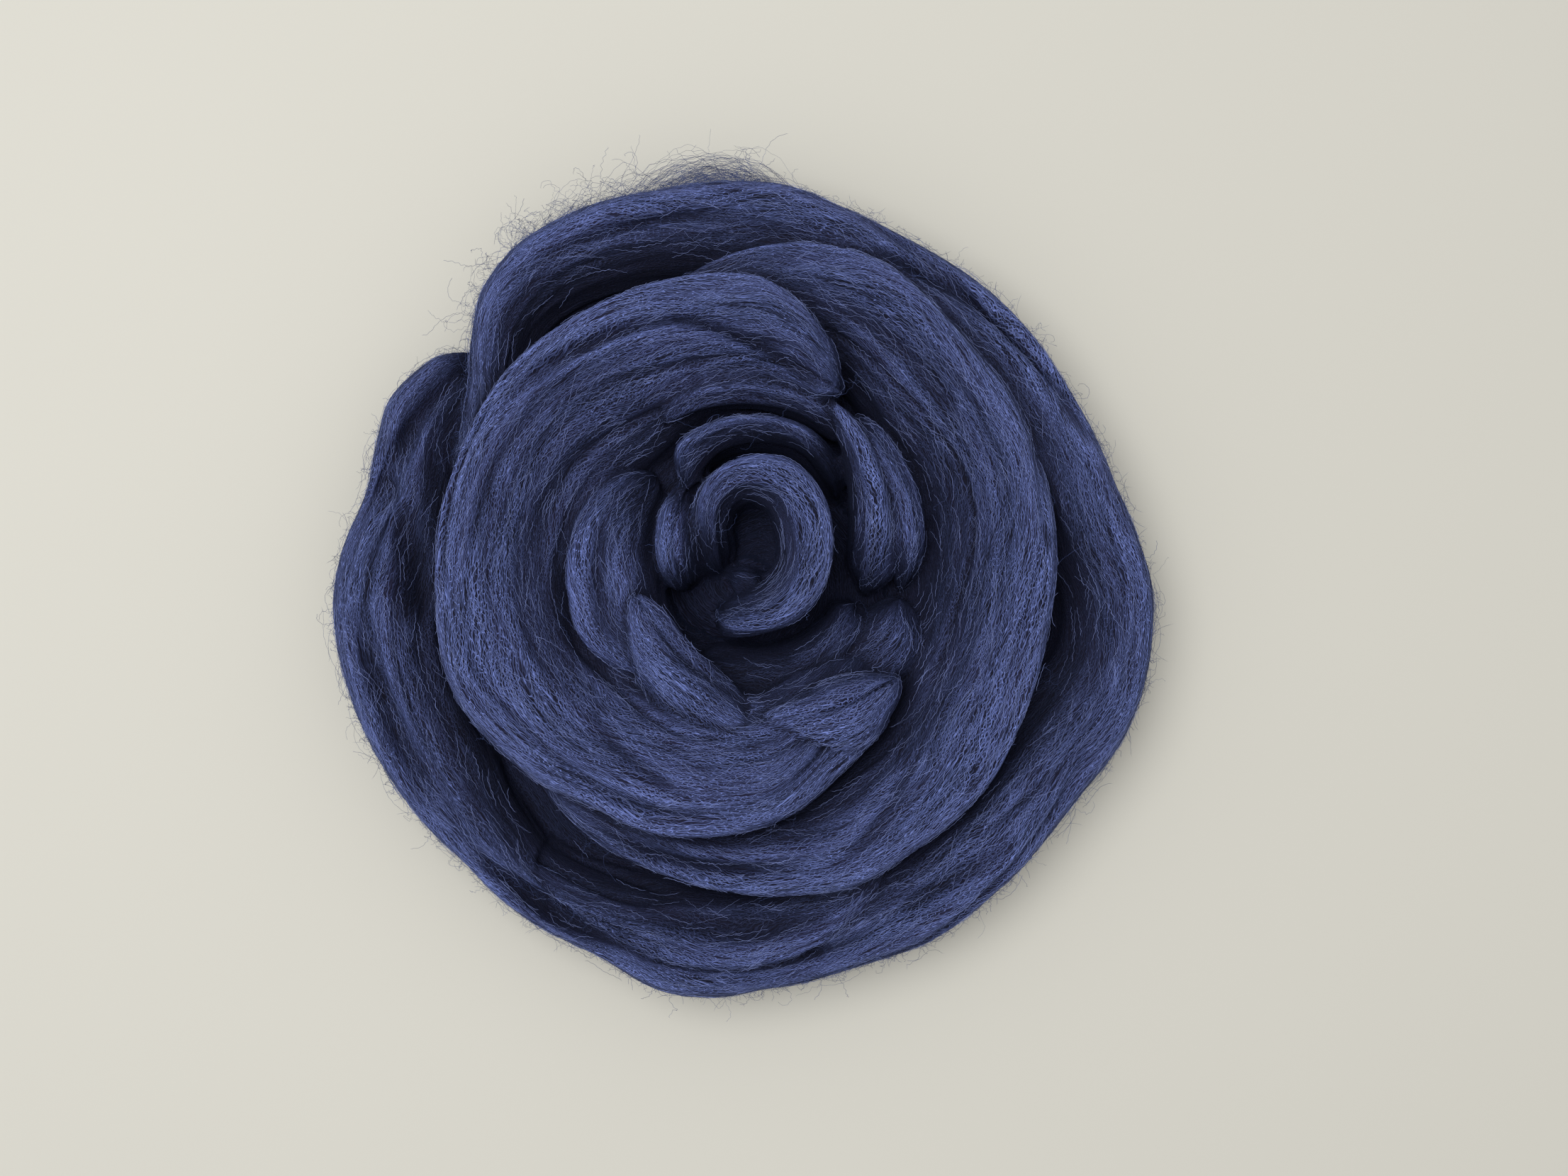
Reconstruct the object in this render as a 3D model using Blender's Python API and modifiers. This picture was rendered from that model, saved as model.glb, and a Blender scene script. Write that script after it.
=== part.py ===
"""A coil of combed wool roving: one soft strand, wound anticlockwise into a flat rose that lies on a table.

Metres, +Z up, the bottom at z = 0 and the middle of the footprint at x = y = 0. The lengths in the tables
are in millimetres and the bearings in degrees, anticlockwise from +X. The coil is one solid. Each visible
turn or fold of the strand is a band that runs round a centre; the bands are lofted, merged into one skin
and cut flat below.
"""

import math
from collections import namedtuple

import bmesh
import bpy

MM = 0.001

# Driving dimensions.
COIL_WIDTH = 200.0  # across the outer turn, along X
COIL_DEPTH = 199.0  # across the outer turn, along Y
STRAND_WIDTH = 30.0  # of the flattened strand, which sets the pitch of the hidden turns below
EYE = (1.6, 10.8)  # centre of the inner folds
FLOOR_SINK = 1.6  # how far the hidden turns are pressed flat
LAP_CLEARANCE = 3.0  # lowest that a turn or fold lying on others reaches

# Resolution.
ALONG_STEP = 2.0  # between two sections, in mm at the rim
AROUND = 40  # points of a section
SKIN_CELL = 1.25  # of the grid that merges the bands
SKIN_TRIANGLES = 10000

# One section of a band. rim and inner are the radii of its outer and inner edge, rim_z and inner_z their
# heights, and swell is how far the back rises over the line between them.
Section = namedtuple("Section", "bearing rim inner rim_z inner_z swell")

# A crease pressed into the back of a band, from one place to another, deepest halfway.
Furrow = namedtuple("Furrow", "start start_radius end end_radius width depth")

# The strand starts at the upper left, tucked under the end of its own first turn.
OUTER_TURN = (
    Section(139, 92.6, 80.0, 8, 2, 10),
    Section(144, 95.2, 77.0, 9, 0, 13),
    Section(152, 98.3, 72.0, 11, -3, 16),
    Section(159, 96.5, 67.0, 12, -5, 18),
    Section(166, 94.9, 64.0, 13, -7, 19),
    Section(176, 98.2, 64.0, 14, -8, 19),
    Section(184, 99.9, 65.0, 14, -8, 20),
    Section(196, 99.6, 65.0, 14, -8, 20),
    Section(210, 97.7, 68.0, 13, -5, 18),
    Section(222, 96.0, 74.0, 12, 0, 17),
    Section(239, 96.2, 80.0, 11, 3, 16),
    Section(250, 96.5, 82.0, 11, 5, 16),
    Section(259, 99.6, 82.0, 11, 5, 16),
    Section(272, 99.7, 80.0, 11, 4, 16),
    Section(288, 97.8, 70.0, 12, -1, 18),
    Section(298, 98.3, 66.0, 13, -4, 19),
    Section(312, 96.9, 62.0, 14, -6, 20),
    Section(326, 96.5, 62.0, 14, -6, 20),
    Section(339, 100.7, 64.0, 14, -7, 20),
    Section(350, 100.9, 69.0, 14, -8, 18),
    Section(358, 99.6, 68.0, 14, -8, 18),
    Section(366, 96.4, 65.0, 14, -7, 19),
    Section(376, 93.3, 63.0, 14, -6, 20),
    Section(390, 91.6, 62.0, 14, -5, 20),
    Section(408, 91.8, 62.0, 14, -5, 20),
    Section(424, 92.8, 64.0, 14, -5, 20),
    Section(436, 95.0, 66.0, 14, -6, 20),
    Section(445, 98.0, 67.0, 14, -7, 20),
    Section(462, 98.0, 69.0, 14, -8, 19),
    Section(474, 99.2, 71.0, 14, -8, 18),
    Section(484, 99.0, 72.0, 14, -8, 18),
    Section(491, 96.0, 70.0, 15, -5, 18),
    Section(496, 90.4, 66.0, 16, -2, 17),
    Section(502, 83.2, 61.0, 17, 0, 15),
    Section(510, 77.7, 57.0, 17, 2, 12),
    Section(522, 74.0, 53.0, 15, 2, 9),
)

# The second lap of the strand shows at the lower left, inside the outer turn.
LOWER_TURN = (
    Section(204, 82.0, 68.0, 11, 2, 7),
    Section(214, 88.0, 75.0, 12, 2, 9),
    Section(225, 90.0, 77.0, 13, 2, 11),
    Section(236, 89.4, 77.5, 14, 2, 12),
    Section(248, 90.0, 75.0, 15, 2, 12),
    Section(258, 92.4, 71.0, 17, 1, 13),
    Section(270, 91.5, 69.0, 18, 0, 13),
    Section(280, 89.0, 67.0, 19, 1, 13),
    Section(290, 84.5, 63.0, 18, 2, 12),
    Section(300, 78.0, 58.0, 15, 2, 9),
)

MIDDLE_TURN = (
    Section(208, 62.0, 46.0, 16, 6, 9),
    Section(223, 68.2, 50.0, 18, 6, 11),
    Section(239, 70.7, 50.0, 20, 6, 12),
    Section(252, 71.8, 49.0, 21, 5, 12),
    Section(268, 73.2, 47.0, 23, 4, 13),
    Section(284, 75.5, 44.0, 25, 3, 14),
    Section(291, 76.3, 42.0, 26, 2, 15),
    Section(303, 74.4, 40.0, 27, 1, 15),
    Section(322, 73.8, 38.0, 28, 0, 15),
    Section(334, 72.3, 37.0, 28, 0, 15),
    Section(352, 72.0, 38.5, 28, 0, 15),
    Section(365, 73.7, 41.0, 28, 0, 15),
    Section(380, 75.6, 44.5, 28, 0, 15),
    Section(396, 78.2, 46.0, 28, 1, 15),
    Section(410, 80.0, 47.0, 28, 2, 14),
    Section(425, 83.8, 51.0, 27, 3, 13),
    Section(436, 83.3, 54.0, 26, 4, 11),
    Section(447, 81.0, 55.0, 25, 5, 10),
    Section(458, 76.9, 55.0, 23, 6, 9),
    Section(468, 72.0, 54.0, 18, 8, 7),
)

UPPER_TURN = (
    Section(63, 56.0, 48.0, 29, 22, 7),
    Section(69, 61.4, 44.0, 29, 17, 10),
    Section(77, 67.8, 42.0, 30, 12, 14),
    Section(86, 72.9, 39.0, 30, 6, 16),
    Section(100, 74.0, 37.0, 30, 3, 17),
    Section(120, 74.6, 36.0, 30, 2, 17),
    Section(136, 75.4, 36.0, 30, 1, 17),
    Section(156, 74.0, 36.0, 30, 1, 17),
    Section(180, 72.7, 35.0, 30, 2, 17),
    Section(198, 72.9, 32.0, 30, 4, 17),
    Section(212, 69.6, 28.0, 30, 8, 16),
    Section(224, 66.6, 26.0, 30, 12, 15),
    Section(235, 63.0, 25.0, 31, 16, 14),
    Section(250, 61.7, 24.0, 32, 18, 13),
    Section(265, 58.5, 24.0, 32, 19, 12),
    Section(280, 54.4, 25.0, 32, 20, 12),
    Section(298, 48.9, 24.0, 31, 20, 11),
    Section(315, 46.8, 24.0, 29, 17, 9),
    Section(329, 44.2, 24.0, 24, 15, 7),
)

# The folds inside the upper turn run round the eye.
LEFT_FOLD = (
    Section(146, 36.0, 21.0, 12, 5, 5),
    Section(165, 40.6, 20.5, 17, 6, 8),
    Section(183, 43.3, 21.0, 23, 8, 11),
    Section(199, 44.8, 22.0, 27, 11, 12),
    Section(211, 45.8, 24.0, 28, 13, 11),
    Section(224, 43.8, 26.0, 27, 17, 9),
    Section(238, 41.0, 28.0, 26, 20, 7),
)

POINTED_FOLD = (
    Section(205, 33.0, 27.5, 27, 30, 5),
    Section(214, 36.0, 26.2, 27, 31, 6),
    Section(224, 40.0, 25.2, 28, 31, 7),
    Section(238, 43.5, 26.4, 27, 29, 8),
    Section(253, 46.0, 29.2, 27, 26, 8),
    Section(264, 48.0, 33.5, 27, 24, 8),
    Section(274, 47.0, 40.0, 27, 25, 6),
)

FRONT_FOLD = (
    Section(270, 47.0, 42.5, 27, 28, 4),
    Section(279, 49.3, 39.0, 28, 30, 6),
    Section(289, 54.0, 38.0, 31, 31, 8),
    Section(300, 55.6, 37.7, 31, 31, 8),
    Section(310, 52.6, 40.5, 28, 30, 7),
    Section(318, 50.5, 45.0, 26, 28, 4),
)

VALLEY_FOLD = (
    Section(246, 37.0, 27.0, 13, 11, 5),
    Section(262, 40.5, 25.0, 13, 9, 8),
    Section(280, 41.0, 25.0, 14, 10, 9),
    Section(298, 37.5, 25.0, 17, 13, 9),
    Section(315, 36.5, 24.5, 18, 13, 9),
    Section(330, 35.5, 24.0, 15, 11, 7),
)

LOW_RIGHT_FOLD = (
    Section(300, 42.0, 36.0, 13, 13, 5),
    Section(314, 47.5, 33.5, 18, 15, 7),
    Section(326, 48.5, 32.5, 18, 15, 7),
    Section(340, 44.0, 34.0, 13, 12, 6),
)

RIGHT_FOLD = (
    Section(-24, 33.0, 27.0, 9, 9, 5),
    Section(-13, 35.0, 24.0, 14, 14, 10),
    Section(2, 35.0, 23.8, 18, 18, 14),
    Section(16, 35.5, 25.2, 18, 18, 15),
    Section(32, 37.0, 28.0, 18, 18, 14),
    Section(48, 38.6, 32.0, 19, 18, 12),
    Section(62, 40.0, 36.5, 20, 19, 8),
)

RIGHT_EDGE_FOLD = (
    Section(-18, 41.0, 36.0, 9, 9, 5),
    Section(0, 43.5, 32.0, 14, 17, 11),
    Section(16, 43.5, 32.5, 15, 18, 12),
    Section(34, 42.0, 33.5, 16, 18, 12),
    Section(50, 40.8, 36.5, 18, 16, 7),
)

OUTER_ARC = (
    Section(48, 37.5, 31.5, 18, 12, 7),
    Section(66, 38.0, 31.5, 23, 14, 8),
    Section(90, 38.0, 31.5, 25, 15, 8),
    Section(112, 38.5, 32.0, 25, 15, 7),
    Section(128, 38.0, 33.0, 22, 15, 5),
)

INNER_ARC = (
    Section(24, 26.0, 22.0, 7, 6, 5),
    Section(42, 29.0, 22.5, 14, 8, 8),
    Section(62, 30.2, 23.0, 23, 10, 11),
    Section(88, 30.2, 22.5, 26, 11, 12),
    Section(110, 30.0, 21.0, 27, 11, 12),
    Section(128, 29.4, 18.0, 25, 11, 11),
    Section(142, 26.0, 16.0, 21, 12, 9),
)

CURL = (
    Section(-118, 24.5, 13.0, 17, 6, 9),
    Section(-104, 24.6, 11.0, 20, 8, 13),
    Section(-90, 24.2, 9.4, 24, 10, 16),
    Section(-62, 23.6, 8.4, 27, 13, 18),
    Section(-30, 21.6, 7.4, 29, 14, 18),
    Section(0, 20.6, 6.4, 29, 14, 18),
    Section(30, 21.2, 6.8, 28, 13, 17),
    Section(60, 21.9, 8.6, 27, 12, 16),
    Section(90, 20.6, 9.4, 25, 10, 16),
    Section(120, 18.6, 8.0, 23, 9, 15),
    Section(148, 15.8, 5.4, 20, 9, 13),
    Section(168, 13.8, 4.2, 17, 8, 12),
    Section(190, 13.4, 3.8, 14, 7, 10),
    Section(212, 13.6, 4.6, 11, 6, 8),
    Section(232, 14.0, 6.0, 8, 6, 6),
)

LEFT_TUFT = (
    Section(136, 23.0, 15.0, 10, 6, 6),
    Section(158, 23.0, 12.5, 17, 9, 12),
    Section(180, 22.5, 11.5, 21, 12, 14),
    Section(198, 22.5, 12.0, 21, 12, 13),
    Section(218, 22.0, 14.0, 14, 8, 9),
)

SMALL_TUFT = (
    Section(-128, 11.0, 7.0, 8, 8, 4),
    Section(-108, 11.8, 6.0, 11, 10, 7),
    Section(-84, 11.6, 6.4, 11, 10, 7),
    Section(-64, 10.8, 7.4, 8, 8, 4),
)

# The hidden first turns of the coil, flattened against the table: a wide turn, then a spiral to the middle.
HIDDEN_TURNS = 3.4
HIDDEN_START = 180.0
HIDDEN_RIM = 80.0
HIDDEN_RIM_Z = 5.0
HIDDEN_SWELL = 4.0
HIDDEN_OVERLAP = 1.0

# underside is how far a band's belly hangs under the line between its edges, and lowest is where the belly
# stops.
Band = namedtuple("Band", "name centre sections underside lowest furrows")

COIL_CENTRE = (0.0, 0.0)
BANDS = (
    Band(
        "outer_turn",
        COIL_CENTRE,
        OUTER_TURN,
        12.0,
        -STRAND_WIDTH,
        (
            Furrow(141, 86.0, 172, 90.0, 1.8, 5.0),
            Furrow(182, 90.5, 216, 88.5, 2.2, 6.0),
            Furrow(166, 81.0, 186, 78.0, 3.0, 6.0),
            Furrow(224, 90.4, 256, 90.4, 1.8, 9.0),
            Furrow(252, 92.6, 292, 88.0, 1.8, 7.0),
            Furrow(296, 84.0, 318, 88.0, 2.2, 4.0),
            Furrow(382, 88.5, 430, 84.5, 1.8, 7.0),
            Furrow(450, 88.0, 482, 92.0, 1.8, 4.0),
        ),
    ),
    Band(
        "lower_turn",
        COIL_CENTRE,
        LOWER_TURN,
        12.0,
        LAP_CLEARANCE,
        (Furrow(252, 81.0, 286, 81.5, 2.0, 5.0),),
    ),
    Band(
        "middle_turn",
        COIL_CENTRE,
        MIDDLE_TURN,
        12.0,
        LAP_CLEARANCE,
        (
            Furrow(236, 66.5, 284, 66.0, 2.0, 6.0),
            Furrow(288, 69.0, 314, 58.0, 2.0, 4.0),
            Furrow(394, 62.0, 434, 72.0, 2.2, 5.0),
        ),
    ),
    Band(
        "upper_turn",
        COIL_CENTRE,
        UPPER_TURN,
        14.0,
        LAP_CLEARANCE,
        (
            Furrow(68, 49.5, 106, 64.4, 1.8, 7.0),
            Furrow(100, 64.4, 150, 70.8, 1.6, 6.0),
            Furrow(218, 45.0, 262, 50.0, 1.8, 4.0),
            Furrow(222, 58.5, 270, 52.0, 1.6, 4.0),
        ),
    ),
    Band("left_fold", EYE, LEFT_FOLD, 12.0, LAP_CLEARANCE, (Furrow(172, 34.0, 216, 38.0, 1.6, 4.0),)),
    Band("pointed_fold", EYE, POINTED_FOLD, 8.0, LAP_CLEARANCE, ()),
    Band("front_fold", EYE, FRONT_FOLD, 8.0, LAP_CLEARANCE, ()),
    Band("valley_fold", EYE, VALLEY_FOLD, 10.0, LAP_CLEARANCE, ()),
    Band("low_right_fold", EYE, LOW_RIGHT_FOLD, 10.0, LAP_CLEARANCE, ()),
    Band("right_fold", EYE, RIGHT_FOLD, 12.0, LAP_CLEARANCE, ()),
    Band("right_edge_fold", EYE, RIGHT_EDGE_FOLD, 10.0, LAP_CLEARANCE, ()),
    Band("outer_arc", EYE, OUTER_ARC, 10.0, LAP_CLEARANCE, ()),
    Band("inner_arc", EYE, INNER_ARC, 10.0, LAP_CLEARANCE, ()),
    Band("curl", EYE, CURL, 12.0, LAP_CLEARANCE, ()),
    Band("left_tuft", EYE, LEFT_TUFT, 10.0, LAP_CLEARANCE, ()),
    Band("small_tuft", EYE, SMALL_TUFT, 8.0, LAP_CLEARANCE, ()),
)


def clear_scene():
    for old in list(bpy.data.objects):
        bpy.data.objects.remove(old, do_unlink=True)


def eased(before, start, end, after, share):
    """A smooth curve through start and end, as their neighbours steer it."""
    lean_in = (end - before) / 2
    lean_out = (after - start) / 2
    square = share * share
    cube = square * share
    return (
        (2 * cube - 3 * square + 1) * start
        + (cube - 2 * square + share) * lean_in
        + (3 * square - 2 * cube) * end
        + (cube - square) * lean_out
    )


def section_at(sections, bearing):
    """The band's section at a bearing, between those of its table."""
    last = len(sections) - 2
    index = next((i for i in range(last) if bearing < sections[i + 1].bearing), last)
    around = [sections[max(0, min(last + 1, index + k))] for k in (-1, 0, 1, 2)]
    share = (bearing - around[1].bearing) / (around[2].bearing - around[1].bearing)
    values = [eased(*column, share) for column in list(zip(*around))[1:]]
    return Section(bearing, *values)


def furrow_depth(furrow, bearing, radius):
    """How deep a furrow is at a place, rising from nothing at both its ends."""
    share = (bearing - furrow.start) / (furrow.end - furrow.start)
    if not 0 < share < 1:
        return 0.0
    middle = furrow.start_radius + (furrow.end_radius - furrow.start_radius) * share
    across = (radius - middle) / furrow.width
    return furrow.depth * math.sin(math.pi * share) ** 0.7 * math.exp(-across * across)


def ring_of(band, section, size):
    """The closed outline of a band at one section, which the round ends draw in to size."""
    half_width = (section.rim - section.inner) / 2
    middle = (section.rim + section.inner) / 2
    height = (section.rim_z + section.inner_z) / 2
    lean = (section.rim_z - section.inner_z) / 2
    angle = math.radians(section.bearing)
    points = []
    for k in range(AROUND):
        turn = 2 * math.pi * k / AROUND
        rise = section.swell if math.sin(turn) > 0 else band.underside
        radius = middle + half_width * math.cos(turn) * size
        z = height + (lean * math.cos(turn) + rise * math.sin(turn)) * size
        if math.sin(turn) > 0:
            z -= sum(furrow_depth(f, section.bearing, radius) for f in band.furrows)
        z = max(z, band.lowest)
        x = band.centre[0] + radius * math.cos(angle)
        y = band.centre[1] + radius * math.sin(angle)
        points.append((x * MM, y * MM, z * MM))
    return points


def add_band(mesh, band):
    """Lofts a band into the mesh, with its ends rounded over a third of its width."""
    first, last = band.sections[0], band.sections[-1]
    widest = max(section.rim for section in band.sections)
    count = math.ceil(math.radians(last.bearing - first.bearing) * widest / ALONG_STEP)
    previous = None
    for step in range(count + 1):
        bearing = first.bearing + (last.bearing - first.bearing) * step / count
        section = section_at(band.sections, bearing)
        reach = (section.rim - section.inner) / 3
        to_end = math.radians(min(bearing - first.bearing, last.bearing - bearing)) * section.rim
        size = math.sqrt(max(0.02, 1 - max(0.0, 1 - to_end / reach) ** 2))
        ring = [mesh.verts.new(point) for point in ring_of(band, section, size)]
        if previous is None:
            mesh.faces.new(ring[::-1])
        else:
            for k in range(AROUND):
                after = (k + 1) % AROUND
                mesh.faces.new((previous[k], previous[after], ring[after], ring[k]))
        previous = ring
    mesh.faces.new(previous)


def hidden_band():
    """The flattened spiral under the visible turns."""
    sections = []
    steps = 16
    for step in range(int(HIDDEN_TURNS * steps) + 1):
        turns = step / steps
        rim = HIDDEN_RIM - STRAND_WIDTH * max(0.0, turns - 1)
        inner = rim - STRAND_WIDTH - HIDDEN_OVERLAP
        bearing = HIDDEN_START + 360 * turns
        sections.append(Section(bearing, rim, inner, HIDDEN_RIM_Z, HIDDEN_RIM_Z, HIDDEN_SWELL))
    belly = HIDDEN_RIM_Z + FLOOR_SINK
    return Band("hidden_turns", COIL_CENTRE, tuple(sections), belly, -FLOOR_SINK, ())


def made_from(name, mesh):
    """A new object of a bmesh, in the scene."""
    data = bpy.data.meshes.new(name)
    mesh.to_mesh(data)
    mesh.free()
    made = bpy.data.objects.new(name, data)
    bpy.context.scene.collection.objects.link(made)
    return made


def apply_modifiers(made):
    """Bakes an object's modifiers into its mesh."""
    bpy.context.view_layer.update()
    graph = bpy.context.evaluated_depsgraph_get()
    data = bpy.data.meshes.new_from_object(made.evaluated_get(graph))
    made.modifiers.clear()
    made.data = data


def keep_outer_skin(made):
    """Leaves only the largest closed skin, so that no hollow is sealed inside."""
    mesh = bmesh.new()
    mesh.from_mesh(made.data)
    seen = set()
    skins = []
    for start in mesh.verts:
        if start in seen:
            continue
        seen.add(start)
        skin = [start]
        for vert in skin:
            for edge in vert.link_edges:
                other = edge.other_vert(vert)
                if other not in seen:
                    seen.add(other)
                    skin.append(other)
        skins.append(skin)
    skins.sort(key=len)
    for skin in skins[:-1]:
        bmesh.ops.delete(mesh, geom=skin, context="VERTS")
    mesh.to_mesh(made.data)
    mesh.free()


def merge_skin(made):
    merge = made.modifiers.new("merge", "REMESH")
    merge.mode = "VOXEL"
    merge.voxel_size = SKIN_CELL * MM
    ease = made.modifiers.new("ease", "SMOOTH")
    ease.factor = 0.5
    ease.iterations = 4
    apply_modifiers(made)
    keep_outer_skin(made)


def thin_skin(made):
    thin = made.modifiers.new("thin", "DECIMATE")
    made.data.calc_loop_triangles()
    thin.ratio = SKIN_TRIANGLES / len(made.data.loop_triangles)
    apply_modifiers(made)


def cut_flat(made):
    """Takes off all that lies under the table's surface."""
    side = 2 * max(COIL_WIDTH, COIL_DEPTH) * MM
    bpy.ops.mesh.primitive_cube_add(size=side, location=(0, 0, -side / 2))
    table = bpy.context.object
    table.name = "table_cutter"
    table.hide_render = True
    table.display_type = "WIRE"
    cut = made.modifiers.new("cut", "BOOLEAN")
    cut.operation = "DIFFERENCE"
    cut.object = table
    apply_modifiers(made)
    bpy.data.objects.remove(table, do_unlink=True)


def fit_footprint(made):
    """Centres the coil over the origin and brings it to its stated width and depth."""
    for axis, size in ((0, COIL_WIDTH * MM), (1, COIL_DEPTH * MM)):
        places = [vert.co[axis] for vert in made.data.vertices]
        low, high = min(places), max(places)
        for vert in made.data.vertices:
            vert.co[axis] = (vert.co[axis] - (low + high) / 2) * size / (high - low)


def wool_material():
    wool = bpy.data.materials.new("navy_wool")
    wool.use_nodes = True
    shader = wool.node_tree.nodes["Principled BSDF"]
    shader.inputs["Base Color"].default_value = (0.035, 0.045, 0.12, 1)
    shader.inputs["Roughness"].default_value = 0.9
    shader.inputs["Metallic"].default_value = 0.0
    return wool


def main():
    clear_scene()
    mesh = bmesh.new()
    for band in BANDS + (hidden_band(),):
        add_band(mesh, band)
    coil = made_from("roving_coil", mesh)
    merge_skin(coil)
    thin_skin(coil)
    cut_flat(coil)
    fit_footprint(coil)
    coil.data.name = "roving_coil"
    coil.data.materials.clear()
    coil.data.materials.append(wool_material())
    coil.data.shade_smooth()
    collection = bpy.data.collections.new("wool_roving")
    bpy.context.scene.collection.children.link(collection)
    bpy.context.scene.collection.objects.unlink(coil)
    collection.objects.link(coil)


main()
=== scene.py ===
"""A coil of combed wool roving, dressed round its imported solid.

One soft strand of dyed wool lies wound anticlockwise into a flat rose. Its turns and folds are bands that
run round a centre. Each band is lofted from a table of sections, creased and rippled along the strand, and
covered with crimped fibres. Tables, lofts, the skin and the paths of fibres are in millimetres, and bearings
in degrees, anticlockwise from +X. Finished meshes and the stage are in metres.
"""

import math
from collections import namedtuple
from functools import reduce

import bpy
import numpy as np
from mathutils.bvhtree import BVHTree
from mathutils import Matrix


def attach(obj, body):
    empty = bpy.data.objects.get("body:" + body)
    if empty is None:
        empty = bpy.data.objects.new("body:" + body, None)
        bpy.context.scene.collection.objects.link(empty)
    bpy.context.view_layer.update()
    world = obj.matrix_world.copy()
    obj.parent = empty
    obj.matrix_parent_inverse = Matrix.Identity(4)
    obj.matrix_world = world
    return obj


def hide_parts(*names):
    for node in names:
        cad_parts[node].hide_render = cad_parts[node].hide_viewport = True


bl_info = {
    "name": "Wool Roving Coil",
    "version": (1, 0, 0),
    "blender": (4, 5, 0),
    "location": "View3D > Sidebar > Roving",
    "description": "Builds a coil of combed wool roving with its loose fibres",
    "category": "Add Mesh",
}

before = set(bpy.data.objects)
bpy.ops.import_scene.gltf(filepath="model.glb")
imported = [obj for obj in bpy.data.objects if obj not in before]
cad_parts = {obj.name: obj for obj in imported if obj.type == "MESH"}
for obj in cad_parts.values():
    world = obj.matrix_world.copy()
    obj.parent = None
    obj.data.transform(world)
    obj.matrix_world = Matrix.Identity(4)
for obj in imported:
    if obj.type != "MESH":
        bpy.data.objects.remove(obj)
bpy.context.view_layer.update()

MM = 0.001
MM_PER_M = 1000.0
NODE = "roving_coil"
BODY = "root"

# ----------------------------------------------------------
# The strand's turns and folds
# ----------------------------------------------------------

COIL_CENTRE = (0.0, 0.0)
EYE = (1.6, 10.8)
STRAND_WIDTH = 30.0
FLOOR_SINK = 1.6  # how far a hidden turn would hang under the table, which flattens it
LAP_CLEARANCE = 3.0  # lowest that the belly of an upper band goes

# One section of a band. rim and inner are the radii of its outer and inner edge, rim_z and inner_z their
# heights, and swell is how far the back rises over the line between them.
Section = namedtuple("Section", "bearing rim inner rim_z inner_z swell")

# A crease in the back of a band, from one place to another, deepest halfway.
Furrow = namedtuple("Furrow", "start start_radius end end_radius width depth")

# A gap between two turns that little light gets into, painted darker in the wool's colour as painted shade.
# It runs from one bearing to another at a radius and fades out over a reach to both sides. depth is the
# share of the light that its middle loses.
Pocket = namedtuple("Pocket", "start end radius reach depth")

# underside is how far a band's belly hangs, lowest is where the belly stops, lean is how far its fibres
# drift across the band for each millimetre along it, tip is the length over which its ends round off, and
# ridged is how strongly its locks stand out.
Band = namedtuple("Band", "name centre sections underside lowest lean tip ridged furrows")


def sections(*rows):
    """Sections from rows of their six values."""
    return tuple(Section(*row) for row in rows)


OUTER_TURN = sections(
    (139, 92.6, 80.0, 8, 2, 10),
    (144, 95.2, 77.0, 9, 0, 13),
    (152, 98.3, 72.0, 11, -3, 16),
    (159, 96.5, 67.0, 12, -5, 18),
    (166, 94.9, 64.0, 13, -7, 19),
    (176, 98.2, 64.0, 14, -8, 19),
    (184, 99.9, 65.0, 14, -8, 20),
    (196, 99.6, 65.0, 14, -8, 20),
    (210, 97.7, 68.0, 13, -5, 18),
    (222, 96.0, 74.0, 12, 0, 17),
    (239, 96.2, 80.0, 11, 3, 16),
    (250, 96.5, 82.0, 11, 5, 16),
    (259, 99.6, 82.0, 11, 5, 16),
    (272, 99.7, 80.0, 11, 4, 16),
    (288, 97.8, 70.0, 12, -1, 18),
    (298, 98.3, 66.0, 13, -4, 19),
    (312, 96.9, 62.0, 14, -6, 20),
    (326, 96.5, 62.0, 14, -6, 20),
    (339, 100.7, 64.0, 14, -7, 20),
    (350, 100.9, 69.0, 14, -8, 18),
    (358, 99.6, 68.0, 14, -8, 18),
    (366, 96.4, 65.0, 14, -7, 19),
    (376, 93.3, 63.0, 14, -6, 20),
    (390, 91.6, 62.0, 14, -5, 20),
    (408, 91.8, 62.0, 14, -5, 20),
    (424, 92.8, 64.0, 14, -5, 20),
    (436, 95.0, 66.0, 14, -6, 20),
    (445, 98.0, 67.0, 14, -7, 20),
    (462, 98.0, 69.0, 14, -8, 19),
    (474, 99.2, 71.0, 14, -8, 18),
    (484, 99.0, 72.0, 14, -8, 18),
    (491, 96.0, 70.0, 15, -5, 18),
    (496, 90.4, 66.0, 16, -2, 17),
    (502, 83.2, 61.0, 17, 0, 15),
    (510, 77.7, 57.0, 17, 2, 12),
    (522, 74.0, 53.0, 15, 2, 9),
)

LOWER_TURN = sections(
    (204, 82.0, 68.0, 11, 2, 7),
    (214, 88.0, 75.0, 12, 2, 9),
    (225, 90.0, 77.0, 13, 2, 11),
    (236, 89.4, 77.5, 14, 2, 12),
    (248, 90.0, 75.0, 15, 2, 12),
    (258, 92.4, 71.0, 17, 1, 13),
    (270, 91.5, 69.0, 18, 0, 13),
    (280, 89.0, 67.0, 19, 1, 13),
    (290, 84.5, 63.0, 18, 2, 12),
    (300, 78.0, 58.0, 15, 2, 9),
)

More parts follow.
